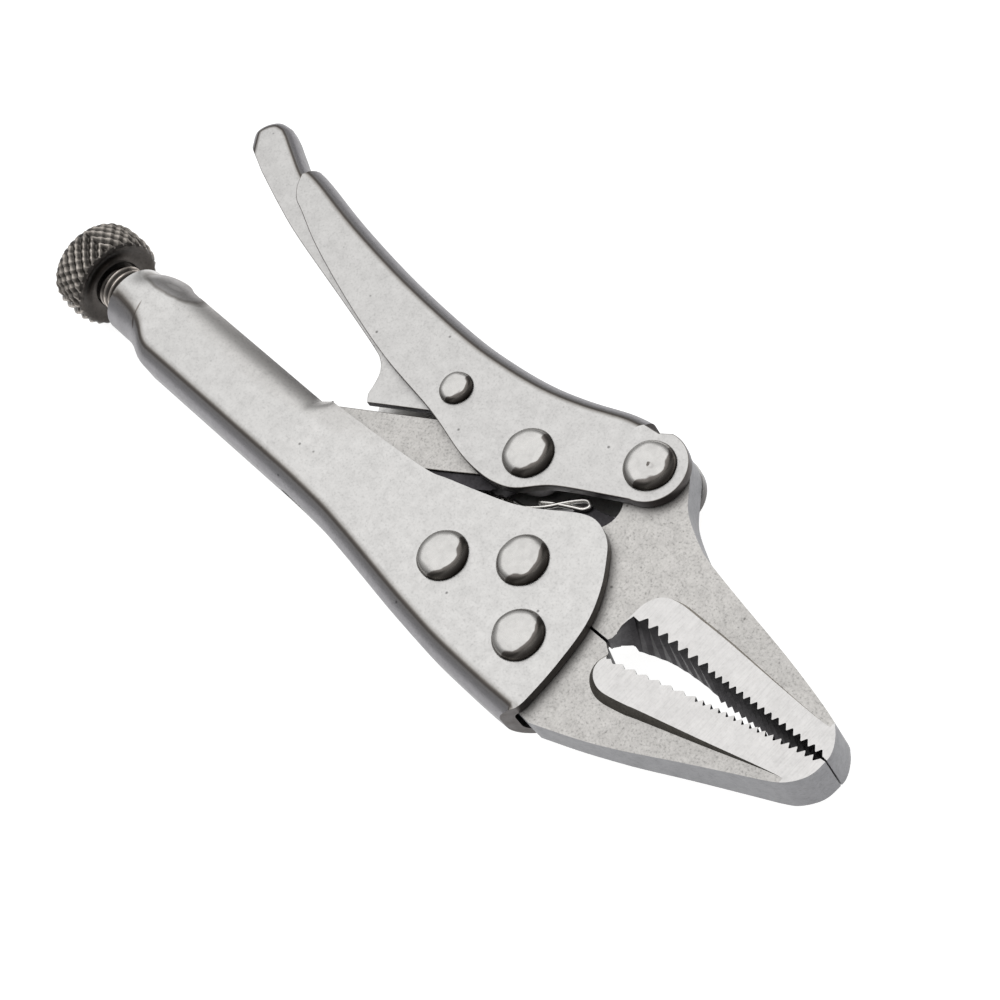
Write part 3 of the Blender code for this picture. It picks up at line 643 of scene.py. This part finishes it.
# The throat's rear wall, on the near side and on the far side.
THROAT_END = [(15.3, 3.25), (15.1, 2.5), (15.0, 1.6), (14.95, 0.8), (14.95, 0.1)]
THROAT_END_FAR = [(15.4, 1.65), (14.6, 1.25), (13.9, 0.85), (13.2, 0.3), (12.5, -0.35)]


def teeth(start, end, count, tip_start, tip_end, depth):
    """Saw teeth with rounded tips and roots, along a straight line of tips."""
    points = []
    for i in range(count):
        for t, rise in ((0.0, 0.0), (0.07, 0.1), (0.34, 0.93), (0.42, 1.0), (0.5, 0.93),
                        (0.93, 0.08)):
            along = (i + t) / count
            points.append((start + (end - start) * along,
                           tip_start + (tip_end - tip_start) * along + rise * depth))
    return points


UPPER_TEETH = (teeth(TEETH_START, TEETH_CHANGE, COARSE_TEETH, UPPER_TIP,
                     UPPER_TIP_CHANGE, COARSE_DEPTH)
               + teeth(TEETH_CHANGE, TEETH_END, FINE_TEETH, UPPER_TIP_CHANGE, MEET + TIP_GAP,
                       FINE_DEPTH))
LOWER_TEETH = (teeth(LOWER_TEETH_START, LOWER_TEETH_CHANGE, COARSE_TEETH, LOWER_TIP,
                     LOWER_TIP_CHANGE, -LOWER_COARSE_DEPTH)
               + teeth(LOWER_TEETH_CHANGE, TEETH_END, FINE_TEETH, LOWER_TIP_CHANGE,
                       MEET - TIP_GAP, -FINE_DEPTH))
PAD_WALL = 0.8         # width of the slope from the pads down to the flange
JAW_LOBE = 5.5          # radius of the moving jaw round its pivot
LOBE_CLEARANCE = 0.35
PARTING = -0.45         # height of the moving jaw's lower edge, just over the fixed jaw
EAR = 4.4               # radius of the moving jaw round the lever's pivot

UPPER_NOSE = [(44.1, MEET + TIP_GAP), (44.02, 5.3), (43.5, 6.4), (42.4, 7.7)]
LOWER_NOSE = [(44.1, MEET - TIP_GAP), (44.0, 2.8), (43.5, 1.5), (42.3, 0.0)]

MOVING_JAW = (
    [(14.6, PARTING)]
    + arc(JAW_PIVOT, JAW_LOBE, -5, -290, 60)
    + arc((0.6, 10.6), 3.45, -42, 48, 16)
    + arc(LEVER_PIVOT, EAR, 252, 35, 40)
    + smooth([(8.4, 18.5), (10.6, 16.2), (14.4, 14.2), (16.9, 13.4), (22.5, 12.3), (32.4, 10.5),
              (40.6, 8.6)] + UPPER_NOSE[::-1], 5)
    + list(reversed(UPPER_TEETH))
    + THROAT_END)
FIXED_JAW = (
    [(14.6, PARTING - LOBE_CLEARANCE), (15.3, -1.25), (16.0, -1.8), (16.5, -2.3)]
    + LOWER_TEETH
    + smooth(LOWER_NOSE + [(40.8, -1.0), (37.5, -2.6), (31.1, -5.7), (24.9, -8.8), (19.6, -11.1),
                           (14.2, -13.1)], 5)
    + [(9.0, -12.9), (0.0, -12.4), (-6.5, -10.4)]
    + arc(REAR_RIVET, 3.7, 265, 100, 24)
    + [(-6.9, -2.4)]
    + arc(JAW_PIVOT, JAW_LOBE + LOBE_CLEARANCE, 200, 352, 36))

UPPER_PAD_EDGE = ([(15.0, -8.0), (15.0, 0.0)] + smooth(
    [(15.0, 3.2), (15.2, 5.1), (16.2, 6.8), (18.3, 7.6), (22.0, 7.68), (26.2, 7.7),
     (34.3, 7.5), (40.6, 7.45), (43.4, 7.8)], 5))
LOWER_PAD_EDGE = ([(16.3, 1.5), (16.3, -1.9)] + smooth(
    [(16.15, -2.4), (16.0, -3.1), (16.25, -4.1), (17.2, -5.0), (18.9, -5.4), (22.0, -4.8),
     (23.8, -4.3), (31.4, -2.4), (40.8, 0.0), (43.4, 0.2)], 5))
TAPER_START, TAPER_END = 22.0, 41.8     # the flange rises to meet the pad between these


def flange_cutter(edge, wall, beyond, side):
    """Everything beside a pad and above the flange, its inner wall sloping up to the pad."""
    step = PAD_HALF - PLATE_HALF
    outer = inset(edge, wall)
    crease = next(i for i, point in enumerate(outer) if point[0] > TAPER_START)
    start = outer[crease][0]

    def floor_at(x):
        return PLATE_HALF + step * max(0.0, x - start) / (TAPER_END - start)

    foot = [tuple(e + (o - e) * (PAD_HALF - floor_at(out[0])) / step for e, o in zip(at, out))
            for at, out in zip(edge, outer)]
    foot[crease] = outer[crease]
    far = [(46.0, edge[-1][1]), (46.0, beyond), (start, beyond), (-20.0, beyond),
           (-20.0, edge[0][1])]
    count, last = len(edge) + len(far), len(edge)
    verts = [(x, y, side * floor_at(x)) for x, y in foot + far]
    verts += [(x, y, side * (PAD_HALF + step)) for x, y in inset(edge, -wall) + far]
    faces = [tuple(range(crease + 1)) + (last + 2, last + 3, last + 4),
             tuple(range(crease, last + 3)), tuple(range(count, 2 * count))]
    faces += [(i, (i + 1) % count, count + (i + 1) % count, count + i) for i in range(count)]
    return as_object("flange_cutter", verts, faces)


def jaw(name, outline, gripping, edge, wall, beyond, holes):
    """A jaw: a slab with leaning gripping faces, thinned on both sides beyond its pad's edge."""
    line = set((round(x, 3), round(y, 3)) for x, y in gripping)

    def leaning(x, y, z):
        back = (PAD_HALF - z) / (2 * PAD_HALF)
        if (round(x, 3), round(y, 3)) not in line:
            if outline is MOVING_JAW and (x, y) in THROAT_END:
                far_x, far_y = THROAT_END_FAR[THROAT_END.index((x, y))]
                return (x + (far_x - x) * back, y + (far_y - y) * back, z)
            # The throat's lower corner slants rearward to the far side.
            if 14.4 < x < 16.6 and -2.4 < y < 0.0:
                return (x - (16.9 - x) * 0.9 * back, y, z)
            return (x, y, z)
        if outline is MOVING_JAW and x < TEETH_CHANGE:
            far = next(a[1] + (b[1] - a[1]) * (x - a[0]) / (b[0] - a[0])
                       for a, b in zip(THROAT_FAR, THROAT_FAR[1:]) if x <= b[0])
            tip = UPPER_TIP + (UPPER_TIP_CHANGE - UPPER_TIP) * (
                (x - TEETH_START) / (TEETH_CHANGE - TEETH_START))
            # On the far side a twentieth of the teeth's depth is left.
            far += 0.05 * (y - tip) - 0.05
            return (x, y + (far - y) * back, z)
        return (x, y - GRIP_LEAN * 2 * PAD_HALF * back, z)

    body = plate(name, outline, -PAD_HALF, PAD_HALF, rim=0, shift=leaning)
    for side in (1, -1):
        combine(body, flange_cutter(edge, wall, beyond, side), "DIFFERENCE")
    return drill(body, holes, SHANK + GAP)


# Flange and pad take the steel's own colours; wall, grip and side are darker copies of it, painted
# shade.
JAW_FINISH = [FLANGE, PAD, WALL, GRIP, SIDE]
ON_FLANGE, ON_PAD, ON_WALL, ON_GRIP, ON_SIDE = range(len(JAW_FINISH))


def grips(normal, centre, gripping_side):
    """Whether a face of a jaw belongs to its teeth or to the throat behind them, which are painted
    in shadow.
    """
    middle = MEET - 2.0 if centre.x > 30 else 1.0
    inward = centre.y < 5.6 if gripping_side < 0 else centre.y > -3.2
    return (normal.y * gripping_side > (-0.75 if centre.x < 41.0 else 0.0)
            and 12.4 < centre.x < 43.4 and abs(normal.z) < 0.5
            and gripping_side * (centre.y - middle) > -4.5 and inward)


def paint_jaw(piece, gripping_side):
    """Gives each face of a jaw its finish; the wall, grip and side finishes are painted shade."""
    for face in piece.data.polygons:
        upright, height = abs(face.normal.z), abs(face.center.z)
        if upright > 0.985:
            on_pad = height > PAD_HALF - 0.01 and upright > 0.9999
            face.material_index = ON_PAD if on_pad else ON_FLANGE
        elif upright > 0.25 and height > PLATE_HALF - 0.05 and face.center.x < 43.0:
            face.material_index = ON_WALL
        elif grips(face.normal, face.center, gripping_side):
            face.material_index = ON_GRIP
        else:
            face.material_index = ON_SIDE


def make_jaws():
    """Both jaws, and the moving jaw's horn, a web across its notch beside the spring's hook."""
    upper = jaw("moving_jaw_forging", MOVING_JAW, UPPER_TEETH, UPPER_PAD_EDGE,
                0.5 * PAD_WALL, 30.0, [JAW_PIVOT, LEVER_PIVOT])
    horn = plate("horn", [(-2.6, 3.6)] + arc(SPRING_FRONT, 1.7, 180, 70, 12)
                 + [(3.0, 10.8), (4.6, 10.6), (4.6, 5.0), (1.5, 3.6)], -0.8, 0.8, rim=0)
    combine(upper, horn, "UNION")
    lower = jaw("fixed_jaw_forging", FIXED_JAW, LOWER_TEETH, LOWER_PAD_EDGE,
                -PAD_WALL, -20.0, [REAR_RIVET, LOWER_RIVET])
    for piece, side in ((upper, -1), (lower, 1)):
        paint_jaw(piece, side)
    # Painted shade: the faces near the spring's hook, on the horn and in the notch, take the
    # near-black grip finish.
    for face in upper.data.polygons:
        if abs(face.center.z) < 1.0 and math.hypot(face.center.x - SPRING_FRONT[0],
                                                   face.center.y - SPRING_FRONT[1]) < 5.0:
            face.material_index = ON_GRIP
    settle(upper, "upper_jaw", ["moving_jaw"], JAW_FINISH)
    settle(lower, "handle", ["fixed_jaw"], JAW_FINISH)


# ---------------------------------------------------------------- lever
LEVER_LOBE = 4.6
LEVER_BACK = smooth([(-0.9, 21.9), (-3.9, 21.3), (-9.2, 19.5), (-14.7, 18.15), (-21.0, 17.4),
                     (-28.0, 17.2), (-40.1, 17.9), (-51.8, 19.35), (-60.5, 20.95),
                     (-63.2, 21.3)], 5)
LEVER_EDGE = smooth([(-64.2, 19.4), (-63.4, 17.8), (-61.9, 16.4), (-59.9, 15.6), (-54.2, 13.3),
                     (-44.6, 10.4), (-34.5, 8.0), (-24.0, 6.5), (-17.0, 4.9), (-13.0, 4.5),
                     (-10.0, 4.8), (-7.6, 5.8), (-4.5, 8.5), (-0.6, 10.6)], 5)


def make_lever():
    lever = plate("lever_channel", LEVER_BACK + LEVER_EDGE[:-1] + [(-0.9, 10.5)], -CHANNEL_HALF,
                  CHANNEL_HALF, fold=LEVER_BACK, bend=FOLD_BEND)
    lobe = plate("lobe", arc(LEVER_PIVOT, LEVER_LOBE, -78, 100, 40)
                 + [(1.3, 21.1), (-1.0, 20.9), (-1.9, 19.7), (-3.0, 18.6), (-3.0, 10.5)]
                 + LEVER_EDGE[-2:-1], -CHANNEL_HALF, CHANNEL_HALF)
    combine(lever, lobe, "UNION")
    inside = [(-1.2, 30.0)] + inset(LEVER_BACK, SHEET) + [(-80.0, 22.0), (-80.0, -2.0),
                                                          (15.0, -2.0), (15.0, 30.0)]
    combine(lever, plate("inside", inside, -CHANNEL_INNER, CHANNEL_INNER, rim=0), "DIFFERENCE")
    drill(lever, [LEVER_PIVOT, LINK_PIVOT], SHANK + GAP)
    drill(lever, [RELEASE_PIVOT], SMALL_SHANK + GAP)
    return settle(lever, "lever", ["lever_handle"], NICKEL)


# ---------------------------------------------------------------- toggle link
def link_top(x):
    """Height of the link's straight upper edge."""
    return 2.3 + 0.5375 * (x + 31.7)


def make_link():
    upper = [(x, link_top(x)) for x in (-15.5, -24.0, -31.7, -36.2)]
    lower = [(-36.0, -7.4), (-28.0, -3.0), (-20.5, 0.8), (-14.0, 4.6)]
    outline = (arc(LINK_PIVOT, 3.0, -80, 112, 40) + upper
               + smooth([(-38.6, -2.0), (-42.0, -3.2)], 4)
               + arc(LINK_REAR, LINK_END_RADIUS, 92, 268, 24) + smooth([(-42.0, -8.3)] + lower, 4))
    link = plate("toggle_bar", outline, -LINK_HALF, LINK_HALF)
    # A rib painted near-black, put in as painted shade where the view between the link and the
    # handle is in shadow.
    rib = plate("rib", [(-21.5, 1.6), (-19.5, 0.2), (-16.0, 1.25), (-13.5, 2.75), (-11.5, 4.0),
                        (-10.0, 6.6), (-14.0, 6.0)], -LINK_HALF + 0.3, LINK_HALF - 0.3, rim=0.05)
    combine(link, rib, "UNION")
    drill(link, [LINK_PIVOT], SHANK + GAP)
    # Painted shade: the rib and the faces below the link's lower edge take the near-black grip
    # finish.
    for face in link.data.polygons:
        x, y = face.center.x, face.center.y
        below = y < 0.8 + 0.585 * (x + 20.5) + 0.1 and -21.4 < x < -10.0
        face.material_index = 1 if below and abs(face.center.z) < LINK_HALF - 0.2 else 0
    return settle(link, "link", ["toggle_link"], [FLANGE, GRIP])


# ---------------------------------------------------------------- release lever
RELEASE_BACK = smooth([(-20.6, 15.7), (-28.0, 15.5), (-40.1, 16.1), (-51.8, 17.8), (-60.0, 19.1),
                       (-65.0, 20.3), (-69.0, 22.0), (-71.6, 23.2)], 5)


def make_release():
    tail = smooth([(-73.0, 23.7), (-74.9, 23.5), (-76.3, 22.2), (-76.8, 20.4), (-75.8, 18.8)], 5)
    edge = smooth([(-70.7, 16.7), (-64.3, 14.6), (-58.4, 12.95), (-45.9, 10.2), (-37.9, 8.35),
                   (-35.7, 7.6), (-34.4, 6.4), (-33.7, 4.7), (-33.4, 3.5), (-32.6, 2.6)], 5)
    hook = [(x, link_top(x) + 0.8) for x in (-30.5, -23.4)]
    outline = (RELEASE_BACK + tail + edge + hook + arc(RELEASE_PIVOT, 2.8, -60, 10, 10)
               + [(-20.6, 13.0)])
    release = plate("release_channel", outline, -RELEASE_HALF, RELEASE_HALF,
                    fold=RELEASE_BACK + tail, bend=1.5, bend_steps=8, rim=0.1)
    inner = RELEASE_HALF - RELEASE_SHEET
    roof = inset(RELEASE_BACK + tail[:1], RELEASE_SHEET)
    roof = [(-10.0, 14.8)] + roof[1:-1] + [(-74.3, 22.2), (-75.4, 20.6), (-76.0, 10.0)]
    combine(release, plate("inside", roof + [(-76.0, -5.0), (-10.0, -5.0)], -inner, inner, rim=0),
            "DIFFERENCE")
    drill(release, [RELEASE_PIVOT], SMALL_SHANK + GAP)
    return settle(release, "release", ["release_lever"], NICKEL)


# ---------------------------------------------------------------- rivets
def make_rivet(node_name, body, centre, shank, head, height, wave_start, dimple=False):
    """A domed rivet, its edge slightly uneven from the peening."""
    seat = CHANNEL_HALF + HEAD_GAP
    profile = [(t, 1.0 - 0.22 * t ** 2.2) for t in (0.02, 0.12, 0.22, 0.32, 0.42, 0.52, 0.62, 0.7)]
    profile += [(0.77, 0.83), (0.83, 0.75), (0.885, 0.62), (0.93, 0.46), (0.965, 0.28),
                (0.99, 0.12), (1.0, 0.02)]
    flat = [(t, 0.86) for t in (0.02, 0.3, 0.6)] + [(0.75, 0.83), (0.87, 0.66), (0.96, 0.36),
                                                    (1.0, 0.02)]
    rows = [(r * head, seat + h * height, r) for r, h in profile]
    rows += [(shank, seat, 0.0), (shank, -seat, 0.0)]
    rows += [(r * head, -seat - h * height / 0.86, -r) for r, h in reversed(flat)]
    sides = 64

    def point(i, j):
        radius, z, share = rows[i]
        a = 2 * math.pi * j / sides
        wave = (math.sin(3 * a + wave_start) + 0.7 * math.sin(5 * a + 2.3 * wave_start)
                + 0.5 * math.sin(8 * a + 4.1 * wave_start)) / 2.2
        if share > 0:
            z += height * 0.05 * wave * math.exp(-((share - 0.8) / 0.16) ** 2)
            radius *= 1.0 + 0.012 * wave * share
        x, y = radius * math.cos(a), radius * math.sin(a)
        if share > 0 and dimple:
            near = math.hypot(x - 0.55, y + 0.1)
            z -= 0.16 * math.exp(-(near / 0.33) ** 2)
        return (centre[0] + x, centre[1] + y, z)

    rivet = grid(node_name + "_head", len(rows), sides, point)
    return settle(rivet, body, [node_name], RIVET, angle=60)


# ---------------------------------------------------------------- adjusting screw and knob
SCREW_TIP = LINK_REAR[0] - LINK_END_RADIUS - LINK_PLAY


def along_x(radius, x, a):
    """A point at a radius and an angle round the screw's axis."""
    return (x, SCREW_AXIS + radius * math.cos(a), radius * math.sin(a))


def make_screw():
    """A single helical thread with a rounded crest, from the knob to the tapered tip."""
    sides, step = 40, 0.125
    length = SCREW_TIP - (KNOB_FRONT + 0.3)
    count = int(length / step)
    root = SCREW_RADIUS - THREAD_DEPTH
    crests = {}

    def point(i, j):
        a = 2 * math.pi * j / sides
        x = SCREW_TIP - i * length / count
        phase = (x / THREAD_PITCH - a / (2 * math.pi)) % 1.0
        crest = 0.5 - 0.5 * math.cos(2 * math.pi * phase)
        crests[i * sides + j] = crest
        fade = min(1.0, (SCREW_TIP - x) / 1.4)
        wide = min(1.0, max(0.0, (NECK_END + 0.6 - x) / 0.8))
        radius = root + 0.5 * wide + THREAD_DEPTH * crest ** 0.8 * fade
        radius = min(radius, 1.5 + 1.2 * (SCREW_TIP - x))
        return along_x(radius, x, a)

    screw = grid("threaded_screw", count + 1, sides, point)
    mark_points(screw, crests, 0.5)
    return settle(screw, "screw", ["adjusting_screw"], THREAD, angle=180)


def make_knob():
    """A knob with a crossed knurl, rounded shoulders, and a dished front face."""
    r, front, rear = KNOB_RADIUS, KNOB_FRONT, KNOB_REAR
    profile = [(2.3, front - 0.9), (3.0, front - 0.85), (3.25, front - 0.25), (3.5, front - 0.5),
               (4.2, front - 0.45), (4.9, front - 0.25), (5.3, front - 0.05), (5.55, front - 0.02),
               (5.8, front - 0.14), (6.0, front - 0.32)]
    band = 44
    for i in range(band + 1):
        t = i / band
        x = front - 0.45 + (rear + 0.75 - (front - 0.45)) * t
        bulge = 1.0 - 0.05 * abs(2 * t - 1) ** 4
        profile.append((r * bulge - 0.02, x))
    profile += [(5.75, rear + 0.32), (5.3, rear + 0.12), (4.7, rear + 0.02), (3.0, rear),
                (0.3, rear)]
    first, last = 10, 10 + band
    sides = 360
    ridges = 27
    twist = 0.85
    knurl_floor = 5.85
    knurls = {}

    def point(i, j):
        radius, x = profile[i]
        a = 2 * math.pi * j / sides
        if first - 2 <= i <= last + 2:
            u = a * ridges / (2 * math.pi)
            v = twist * (x - rear) * ridges / (2 * math.pi * r)
            one = abs(((u + v) % 1.0) * 2 - 1)
            two = abs(((u - v) % 1.0) * 2 - 1)
            # One set of ridges stands out more than the other, by turns round the knob.
            share = 0.72 if math.sin(2 * a + 0.6) > 0 else 0.28
            knurl = min(1.0, 1.3 * (share * one + (1.0 - share) * two) - 0.12)
            edge = min(1.0, 0.35 + (i - first + 2) / 6.0, 0.35 + (last + 2 - i) / 6.0)
            radius -= 0.5 * edge * (1.0 - knurl)
            knurls[i * sides + j] = knurl
        return along_x(radius, x, a)

    knob = grid("knurled_knob", len(profile), sides, point)
    mark_points(knob, knurls, 0.8)
    for face in knob.data.polygons:
        c = face.center
        face.material_index = 1 if math.hypot(c.y - SCREW_AXIS, c.z) > knurl_floor else 0
    return settle(knob, "knob", ["adjusting_knob"], [DARK, KNURL], angle=50)


# ---------------------------------------------------------------- tension spring
def make_spring():
    rear = Vector((*SPRING_REAR, 0.0))
    front = Vector((*SPRING_FRONT, 0.0))
    along = (front - rear).normalized()
    up = Vector((0.0, 0.0, 1.0))
    side = up.cross(along)
    coil_start, coil_end, turns, per_turn = 5.5, 23.5, 26, 20

    def place(s, across, height):
        return rear + along * s + side * across + up * height

    points = []
    for i in range(11):         # the rear hook, through the handle's tab
        angle = math.radians(60 + 27 * i)
        points.append(place(HOOK_RADIUS * math.cos(angle), 0.0, HOOK_RADIUS * math.sin(angle)))
    points += [place(2.2, 0.0, -0.2), place(3.6, 0.3, 0.0), place(4.8, 0.9, 0.1)]
    points = [Vector(p) for p in smooth([tuple(p) for p in points], 3)]
    for i in range(turns * per_turn + 1):
        t = i / (turns * per_turn)
        angle = math.radians(360.0 * turns * t)
        points.append(place(coil_start + (coil_end - coil_start) * t,
                            COIL_RADIUS * math.cos(angle), COIL_RADIUS * math.sin(angle)))
    # The front hook runs along the horn's near side.
    tail = [place(coil_end + 1.2, 1.35, 0.2)]
    tail += [Vector(p) for p in ((-6.6, 5.2, 0.9), (-4.5, 6.7, 1.15), (-2.8, 8.6, 1.2),
                                 (-1.4, 10.0, 1.2), (-0.6, 10.35, 1.2), (-0.1, 9.9, 1.2),
                                 (-0.5, 9.2, 1.2), (-1.6, 8.7, 1.2), (-4.0, 7.6, 1.15),
                                 (-5.6, 6.7, 1.05))]
    points += [Vector(p) for p in smooth([tuple(p) for p in tail], 3)]
    curve = bpy.data.curves.new("wound_spring", "CURVE")
    curve.dimensions = "3D"
    curve.bevel_depth = WIRE
    curve.bevel_resolution = 3
    curve.use_fill_caps = True
    spline = curve.splines.new("POLY")
    spline.points.add(len(points) - 1)
    for point, co in zip(spline.points, points):
        point.co = (*co, 1.0)
    guide = new_object("guide", curve)
    bpy.context.view_layer.update()
    mesh = bpy.data.meshes.new_from_object(
        guide.evaluated_get(bpy.context.evaluated_depsgraph_get()))
    bpy.data.objects.remove(guide, do_unlink=True)
    spring = cleaned("wound_spring", mesh, merge=MERGE)
    settle(spring, "handle", ["tension_spring"], SPRING, angle=180)
    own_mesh(spring)
    return spring


make_fixed_handle()
make_jaws()
make_lever()
make_link()
make_release()
for index, (rivet_name, rivet_body, rivet_centre) in enumerate((
        ("jaw_pivot_rivet", "handle", JAW_PIVOT), ("rear_jaw_rivet", "handle", REAR_RIVET),
        ("lower_jaw_rivet", "handle", LOWER_RIVET), ("lever_pivot_rivet", "lever", LEVER_PIVOT),
        ("link_rivet", "lever", LINK_PIVOT))):
    make_rivet(rivet_name, rivet_body, rivet_centre, SHANK, HEAD, HEAD_HEIGHT, 1.3 + 1.7 * index,
               dimple=rivet_name == "lever_pivot_rivet")
make_rivet("release_rivet", "lever", RELEASE_PIVOT, SMALL_SHANK, SMALL_HEAD, SMALL_HEAD_HEIGHT,
           0.4)
make_screw()
make_knob()
make_spring()


# ---------------------------------------------------------------- stage, light and camera
FLOOR_Z = CAD_BOX[0][2]
floor_half = 2.0
corners = [(-1, -1), (1, -1), (1, 1), (-1, 1)]
floor_mesh = bpy.data.meshes.new("floor")
floor_mesh.from_pydata([(x * floor_half, y * floor_half, FLOOR_Z) for x, y in corners], [],
                       [(0, 1, 2, 3)])
floor = new_object("floor", floor_mesh)
floor_paint, _, floor_shader = nodes_of("pale_floor")
floor_shader.inputs["Base Color"].default_value = (0.5, 0.5, 0.5, 1.0)
floor_shader.inputs["Roughness"].default_value = 0.9
floor_shader.inputs["Specular IOR Level"].default_value = 0.0
floor_shader.inputs["Emission Color"].default_value = (1.0, 1.0, 1.0, 1.0)
floor_shader.inputs["Emission Strength"].default_value = 0.85
floor.data.materials.append(floor_paint)

world = bpy.context.scene.world or bpy.data.worlds.new("studio")
bpy.context.scene.world = world
world.use_nodes = True
sky = world.node_tree
background = sky.nodes["Background"]
direction = node(sky, "ShaderNodeTexCoord").outputs["Generated"]
towards = node(sky, "ShaderNodeVectorMath", operation="DOT_PRODUCT")
sky.links.new(direction, towards.inputs[0])
towards.inputs[1].default_value = Vector((-0.50, 0.10, 0.86)).normalized()
share = math_node(sky, "MULTIPLY_ADD", towards.outputs["Value"], 0.5)
share.node.inputs[2].default_value = 0.5
light = ramp(sky, share, [(0.0, 0.2), (0.5, 0.32), (0.62, 0.34), (0.72, 0.30), (0.80, 0.36),
                          (0.87, 0.60), (0.92, 0.74), (1.0, 0.74)])
sky.links.new(light, background.inputs["Color"])
background.inputs["Strength"].default_value = 1.0


lamp = bpy.data.lights.new("overhead", "AREA")
lamp.shape = "DISK"
lamp.size = 1.1
lamp.energy = 2.6
overhead = new_object("overhead", lamp)
overhead.location = (-0.25, 0.12, 0.75)
lit_at = Vector((-0.01, 0.0, 0.0))
overhead.rotation_euler = (lit_at - overhead.location).to_track_quat("-Z", "Y").to_euler()

camera_data = bpy.data.cameras.new("camera")
camera = new_object("camera", camera_data)
camera_data.lens = 100.0
camera_data.sensor_width = 36.0
camera_data.clip_start = 0.01
look_at = Vector((-10.44, 4.10, LIFT)) * MM
to_camera = Vector((0.55611, -0.10749, 0.82413)).normalized()
up_hint = Vector((-0.532, 0.71579, 0.45235)).normalized()
right = up_hint.cross(to_camera).normalized()
true_up = to_camera.cross(right)
camera_distance = 0.3223
camera.location = look_at + to_camera * camera_distance
camera.rotation_euler = Matrix((right, true_up, to_camera)).transposed().to_euler()
bpy.context.scene.camera = camera
bpy.context.scene.view_settings.view_transform = "Standard"
